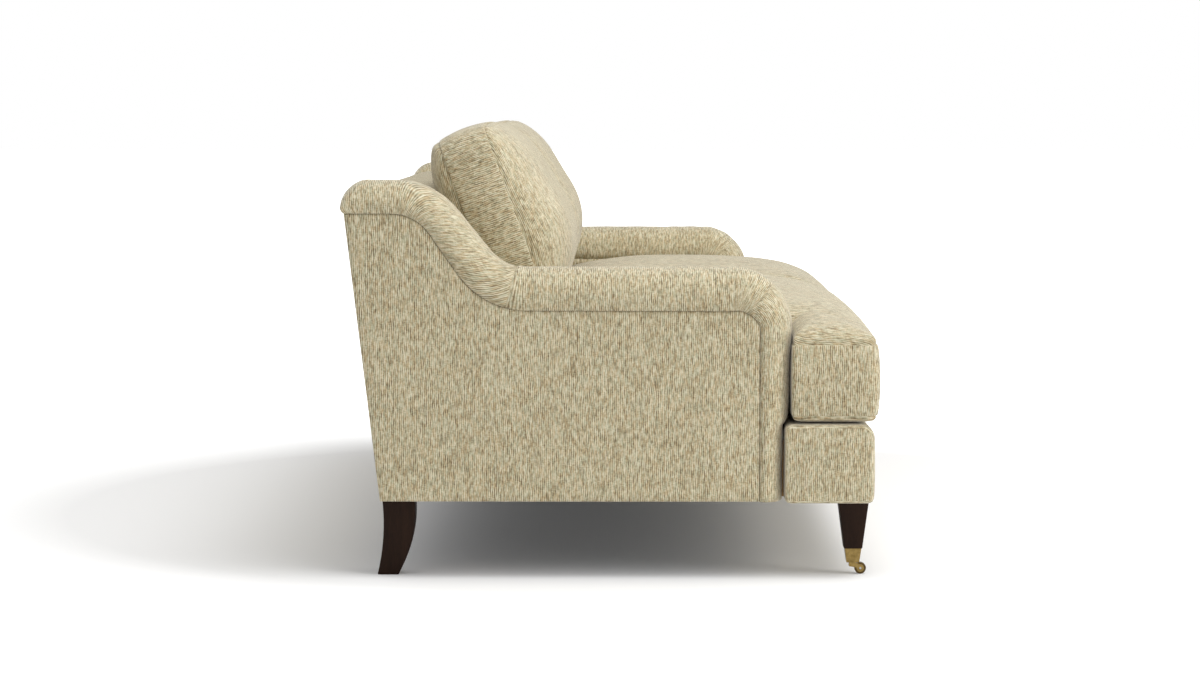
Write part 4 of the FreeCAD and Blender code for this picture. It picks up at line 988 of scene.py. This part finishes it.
def seat_cushion(side):
    """A boxed seat cushion with an ear in front of the arm.

    Its top rises from the seam to a crown that is highest at a third of the depth, and the two falls,
    to the front or rear and to either side, add up as the sides of a right triangle do. The wall
    bulges between its seams.
    """
    front, step, rear = -0.4990, -0.3385, 0.1885
    inner, outer, ear = 0.0075, 0.8855, 1.0385
    top_seam, low_seam = 0.4425, 0.3065
    ys = np.unique(np.concatenate([front + steps(step - front, CELL), step + steps(rear - step, CELL)]))
    xs = np.unique(np.concatenate([inner + steps(outer - inner, CELL), outer + steps(ear - outer, CELL)]))
    kept = (xs[:-1, None] < outer - 1e-6) | (ys[None, :-1] < step - 1e-6)
    used = np.zeros((len(xs), len(ys)), bool)
    halves = slice(None, -1), slice(1, None)
    for a in halves:
        for b in halves:
            used[a, b] |= kept
    index = np.full(used.shape, -1)
    index[used] = np.arange(used.sum())
    i, j = np.nonzero(kept)
    quads = np.stack([index[i, j], index[i + 1, j], index[i + 1, j + 1], index[i, j + 1]], -1)
    notch = int(np.argmin(np.abs(xs - outer))), int(np.argmin(np.abs(ys - step)))
    loop = panel_ring(index, 0, notch)
    x, y = np.meshgrid(xs, ys, indexing="ij")
    flat = np.stack([x, y], -1)[used]
    edges = [flat[:, 0] - inner, flat[:, 1] - front, rear - flat[:, 1], ear - flat[:, 0],
             np.maximum(outer - flat[:, 0], step - flat[:, 1])]
    dist = np.maximum(np.minimum.reduce(edges), 0)
    for corner in ((1, inner, 1, front, 0.020), (-1, ear, 1, front, 0.020), (1, inner, -1, rear, 0.024),
                   (-1, outer, -1, rear, 0.024)):
        x, y = round_corner(x, y, *corner)
    x, y = round_corner(x, y, -1, ear, -1, step, 0.006, x >= outer - 1e-9)
    gx, gy = x[used], y[used]
    back = gy - CROWN_Y
    fall_long = np.where(back < 0, 0.042 * np.abs(back / 0.315) ** 2.0, 0.062 * np.abs(back / 0.38) ** 2.6)
    fall_side = (0.030 * np.clip(1 - gx / 0.32, 0, 1) ** 1.25
                 + 0.054 * np.clip((gx - 0.50) / 0.546, 0, 1) ** 1.1)
    crown = CROWN_TOP - np.hypot(fall_long, fall_side) - top_seam
    top_z = top_seam + crown * rise(dist, 0.074, 2.4)
    soft = 0.0016 * ripple(gx, gy, 71 + side, 0.24) + 0.0008 * ripple(gx, gy, 75 + side, 0.09)
    top_z += soft * ease(dist, 0.01, 0.08)
    gather = sum(ripple(flat[:, 1 - k % 2], 0 * gx, 91 + side + k, 0.024, 6)
                 * np.exp(-np.abs(edges[e]) / 0.017) for k, e in enumerate((0, 1, 3, 2)))
    top_z += 0.0015 * gather * ease(dist, 0.004, 0.016)
    bottom_z = low_seam - 0.0125 * rise(dist, 0.03, 2.0)
    height = np.full(used.shape, top_seam)
    height[used] = top_z
    lengths = cloth_lengths(np.stack([x, y, height], -1))[used]
    upper, lower = np.stack([gx, gy, top_z], -1), np.stack([gx, gy, bottom_z], -1)
    ring = upper[loop][:, :2]
    outward, around = outline_frame(ring)
    share = wall_shares(top_seam - low_seam, 9)
    facing = outward[:, 1]
    belly = 0.0062 - 0.0002 * np.clip(-facing, 0, 1) - 0.0045 * np.clip(facing, 0, 1)
    belly = belly + 0.0013 * (ring[:, 0] > 0.95) * np.clip(outward[:, 0], 0, 1)
    belly = belly[None] * np.sin(pi * share)[:, None] ** 0.5
    belly = belly * (1 + 0.10 * ripple(around[None], share[:, None] * 0.1, 81 + side, 0.16))
    belly[:, loop == index[notch]] *= 0.3
    z = top_seam + share[:, None] * (low_seam - top_seam) + 0 * around[None]
    bulged = ring[None] + outward[None] * belly[..., None]
    walls = np.concatenate([bulged, z[..., None]], -1)
    sink = np.concatenate([outward, np.ones((len(loop), 1))], 1) * SEAM_SINK
    upper[loop] -= sink
    lower[loop] -= sink * (1, 1, -1)
    sew_cushion("seat_cushion", "seat_top_stitch", side, index, notch, quads, (upper, lower), walls, flat,
                (lengths, flat), share, 0.137, dist, (30.0 + 9 * side, 0.4))


def back_cushion(side):
    """A boxed back cushion, full in front and behind, that leans on the inside back.

    It is drawn upright, x across, o out of the back and w up. A panel bulges from its seams as a rounded
    rise from both sides times an arch upwards, then all is leaned into place.
    """
    x0, x1, low, high = 0.009, 0.880, 0.006, 0.371
    rear_seam, front_seam = 0.0455, 0.1405
    xs, ws = x0 + steps(x1 - x0, CELL), low + steps(high - low, CELL)
    index = np.arange(len(xs) * len(ws)).reshape(len(xs), len(ws))
    x, w = np.meshgrid(xs, ws, indexing="ij")
    loop = panel_ring(index, 0, None)
    flat = np.stack([x, w], -1).reshape(-1, 2)
    i, j = np.meshgrid(np.arange(len(xs) - 1), np.arange(len(ws) - 1), indexing="ij")
    quads = np.stack([index[i, j], index[i + 1, j], index[i + 1, j + 1], index[i, j + 1]], -1)
    edges = [flat[:, 0] - x0, x1 - flat[:, 0], flat[:, 1] - low, high - flat[:, 1]]
    dist = np.maximum(np.minimum.reduce(edges), 0)
    for across in ((1, x0), (-1, x1)):
        for upward in ((1, low, 0.028), (-1, high, 0.050)):
            x, w = round_corner(x, w, *across, *upward)
    gx, gw = x.ravel(), w.ravel()
    share = np.clip((flat[:, 1] - low) / (high - low), 0, 1)
    aside = np.minimum(edges[0], edges[1])
    arch = (1 - np.abs(2 * share - 1) ** 2.1) ** 0.62
    soft = 0.0020 * ripple(gx, gw, 101 + side, 0.22) + 0.0009 * ripple(gx, gw, 105 + side, 0.08)
    gather = sum(ripple(flat[:, k], 0 * gx, 121 + side + e, 0.026, 6) * np.exp(-np.abs(edges[e]) / 0.018)
                 for e, k in enumerate((1, 1, 0, 0)))
    full = arch * (1.04 - 0.25 * share - 0.12 * bump(share, 0.64, 0.20))
    front_o = front_seam + 0.098 * rise(aside, 0.150, 1.8) * full
    front_o += soft * ease(dist, 0.01, 0.09) + 0.0012 * gather * ease(dist, 0.004, 0.016)
    back_o = rear_seam - 0.0435 * rise(aside, 0.09) * (1 - np.abs(2 * share - 1) ** 2.4) ** 0.38
    up = np.array([0, math.sin(LEAN), math.cos(LEAN)])
    out = np.array([0, -math.cos(LEAN), math.sin(LEAN)])
    foot = np.array([0, 0.2518, 0.4515])

    def placed(px, po, pw):
        return foot + px[..., None] * np.array([1.0, 0, 0]) + po[..., None] * out + pw[..., None] * up

    sag = np.sin(pi * np.clip((gx - x0) / (x1 - x0), 0, 1)) ** 0.6
    crest = gw + 0.009 * sag * ease(share, 0.5, 1.0)
    upper, lower = placed(gx, front_o, crest), placed(gx, back_o, crest)
    outward, around = outline_frame(np.stack([gx, gw], -1)[loop])
    t = wall_shares(front_seam - rear_seam, 6)
    belly = (0.0070 * np.sin(pi * t) ** 0.5)[:, None] * (1 - 0.6 * np.clip(-outward[:, 1], 0, 1))[None]
    belly = belly * (1 + 0.12 * ripple(around[None], t[:, None] * 0.1, 111 + side, 0.15))
    wall_o = front_seam + t[:, None] * (rear_seam - front_seam) + 0 * around[None]
    walls = placed(gx[loop][None] + outward[None, :, 0] * belly, wall_o,
                   crest[loop][None] + outward[None, :, 1] * belly)
    sideways = outward[:, :1] * np.array([1.0, 0, 0]) + outward[:, 1:] * up
    upper[loop] -= (sideways + out) * SEAM_SINK
    lower[loop] -= (sideways - out) * SEAM_SINK
    lengths = [cloth_lengths(points.reshape(*x.shape, 3)).reshape(-1, 2) for points in (upper, lower)]
    sew_cushion("back_cushion", "back_seam_stitch", side, index, None, quads.reshape(-1, 4), (upper, lower),
                walls, flat, lengths, t, 0.096, dist, (50.0 + 9 * side, 0.7))


# Legs


def rounded_ring(x, y, z, half_x, half_y, radius, count=6):
    """Rings of a rounded oblong, one for each height: quarter circles at its four corners."""
    turn = np.linspace(0, pi / 2, count)
    x, y, half_x, half_y, radius, z = (np.broadcast_to(v, np.shape(z))[:, None]
                                       for v in (x, y, half_x, half_y, radius, z))
    parts = []
    for k, (sx, sy) in enumerate(((1, 1), (-1, 1), (-1, -1), (1, -1))):
        angle = turn[None] + k * pi / 2
        parts.append(np.stack([x + sx * (half_x - radius) + radius * np.cos(angle),
                               y + sy * (half_y - radius) + radius * np.sin(angle), z + 0 * angle], -1))
    return np.concatenate(parts, 1)


def wooden_leg(kind, rings, side):
    """Makes a leg of rings and shades its corners as edges."""
    name = SIDE_NAMES[side]
    around = closed(rings, 1)
    uv = np.stack([np.linspace(0, 0.2, around.shape[1])[None] + 0 * around[..., 2], around[..., 2]], -1)
    made = piece(kind + "_wood" + name, [tube(rings, uv)], LEG_WOOD, "frame", [kind + name],
                 side=side)
    made.data.set_sharp_from_angle(angle=math.radians(35))


LEG_X = 0.974


def front_leg(side):
    """A square leg that tapers straight down to the brass cup, with eased edges."""
    z = np.array([0.0500, 0.0507, 0.060, 0.08, 0.10, 0.12, 0.1410, 0.1494, 0.150])
    half = np.interp(z, [0.0507, 0.150], [0.0174, 0.0295])
    half[0] -= 0.0004
    half[-1] -= 0.0004
    rings = rounded_ring(LEG_X, -0.458, z, half, half, np.full(len(z), 0.0026))
    wooden_leg("front_leg", rings, side)


def rear_leg(side):
    """A sabre leg: front and rear edges are arcs in side view, and its width tapers in front view."""
    z = np.concatenate([[0, 0.0008, 0.002], np.linspace(0.006, 0.145, 24), [0.146]])
    t = z / 0.146
    bow = 4 * t * (1 - t)
    rear = 0.447 + (0.437 - 0.447) * t - 0.0065 * bow
    front = 0.407 + (0.3755 - 0.407) * t - 0.0115 * bow
    half_x = 0.021 + 0.007 * t
    trim = 0.0008 * (z < 0.0005) + 0.0003 * (z < 0.0015)
    rings = rounded_ring(LEG_X, (rear + front) / 2, z, half_x - trim, (rear - front) / 2 - trim,
                         np.full(len(z), 0.0030))
    wooden_leg("rear_leg", rings, side)


for side in (-1, 1):
    arm_roll(side)
    outside_arm(side)
    inside_arm(side)
    front_leg(side)
    rear_leg(side)
inside_back()
outside_back()
front_border()
deck()
for side in (-1, 1):
    seat_cushion(side)
    back_cushion(side)

# Finishes of the frame's own pieces

FINISHES = {
    "frame_timber": TIMBER, "leg_wood": LEG_WOOD, "caster_brass": BRASS, "wheel_brass": PAINTED_SHADE_BRASS,
    "steel": STEEL, "webbing": JUTE, "hessian": HESSIAN, "dust_cloth": DUST_CLOTH, "zip_tape": ZIP_CLOTH,
    "upholstery_fabric": FABRIC, "padding": LINING, "cushion_filling": LINING,
}
for part in frame["record"]["subparts"]:
    owned = frame["nodes"][part["node"]]
    owned.data.materials.clear()
    owned.data.materials.append(FINISHES[part["material_slot"]])
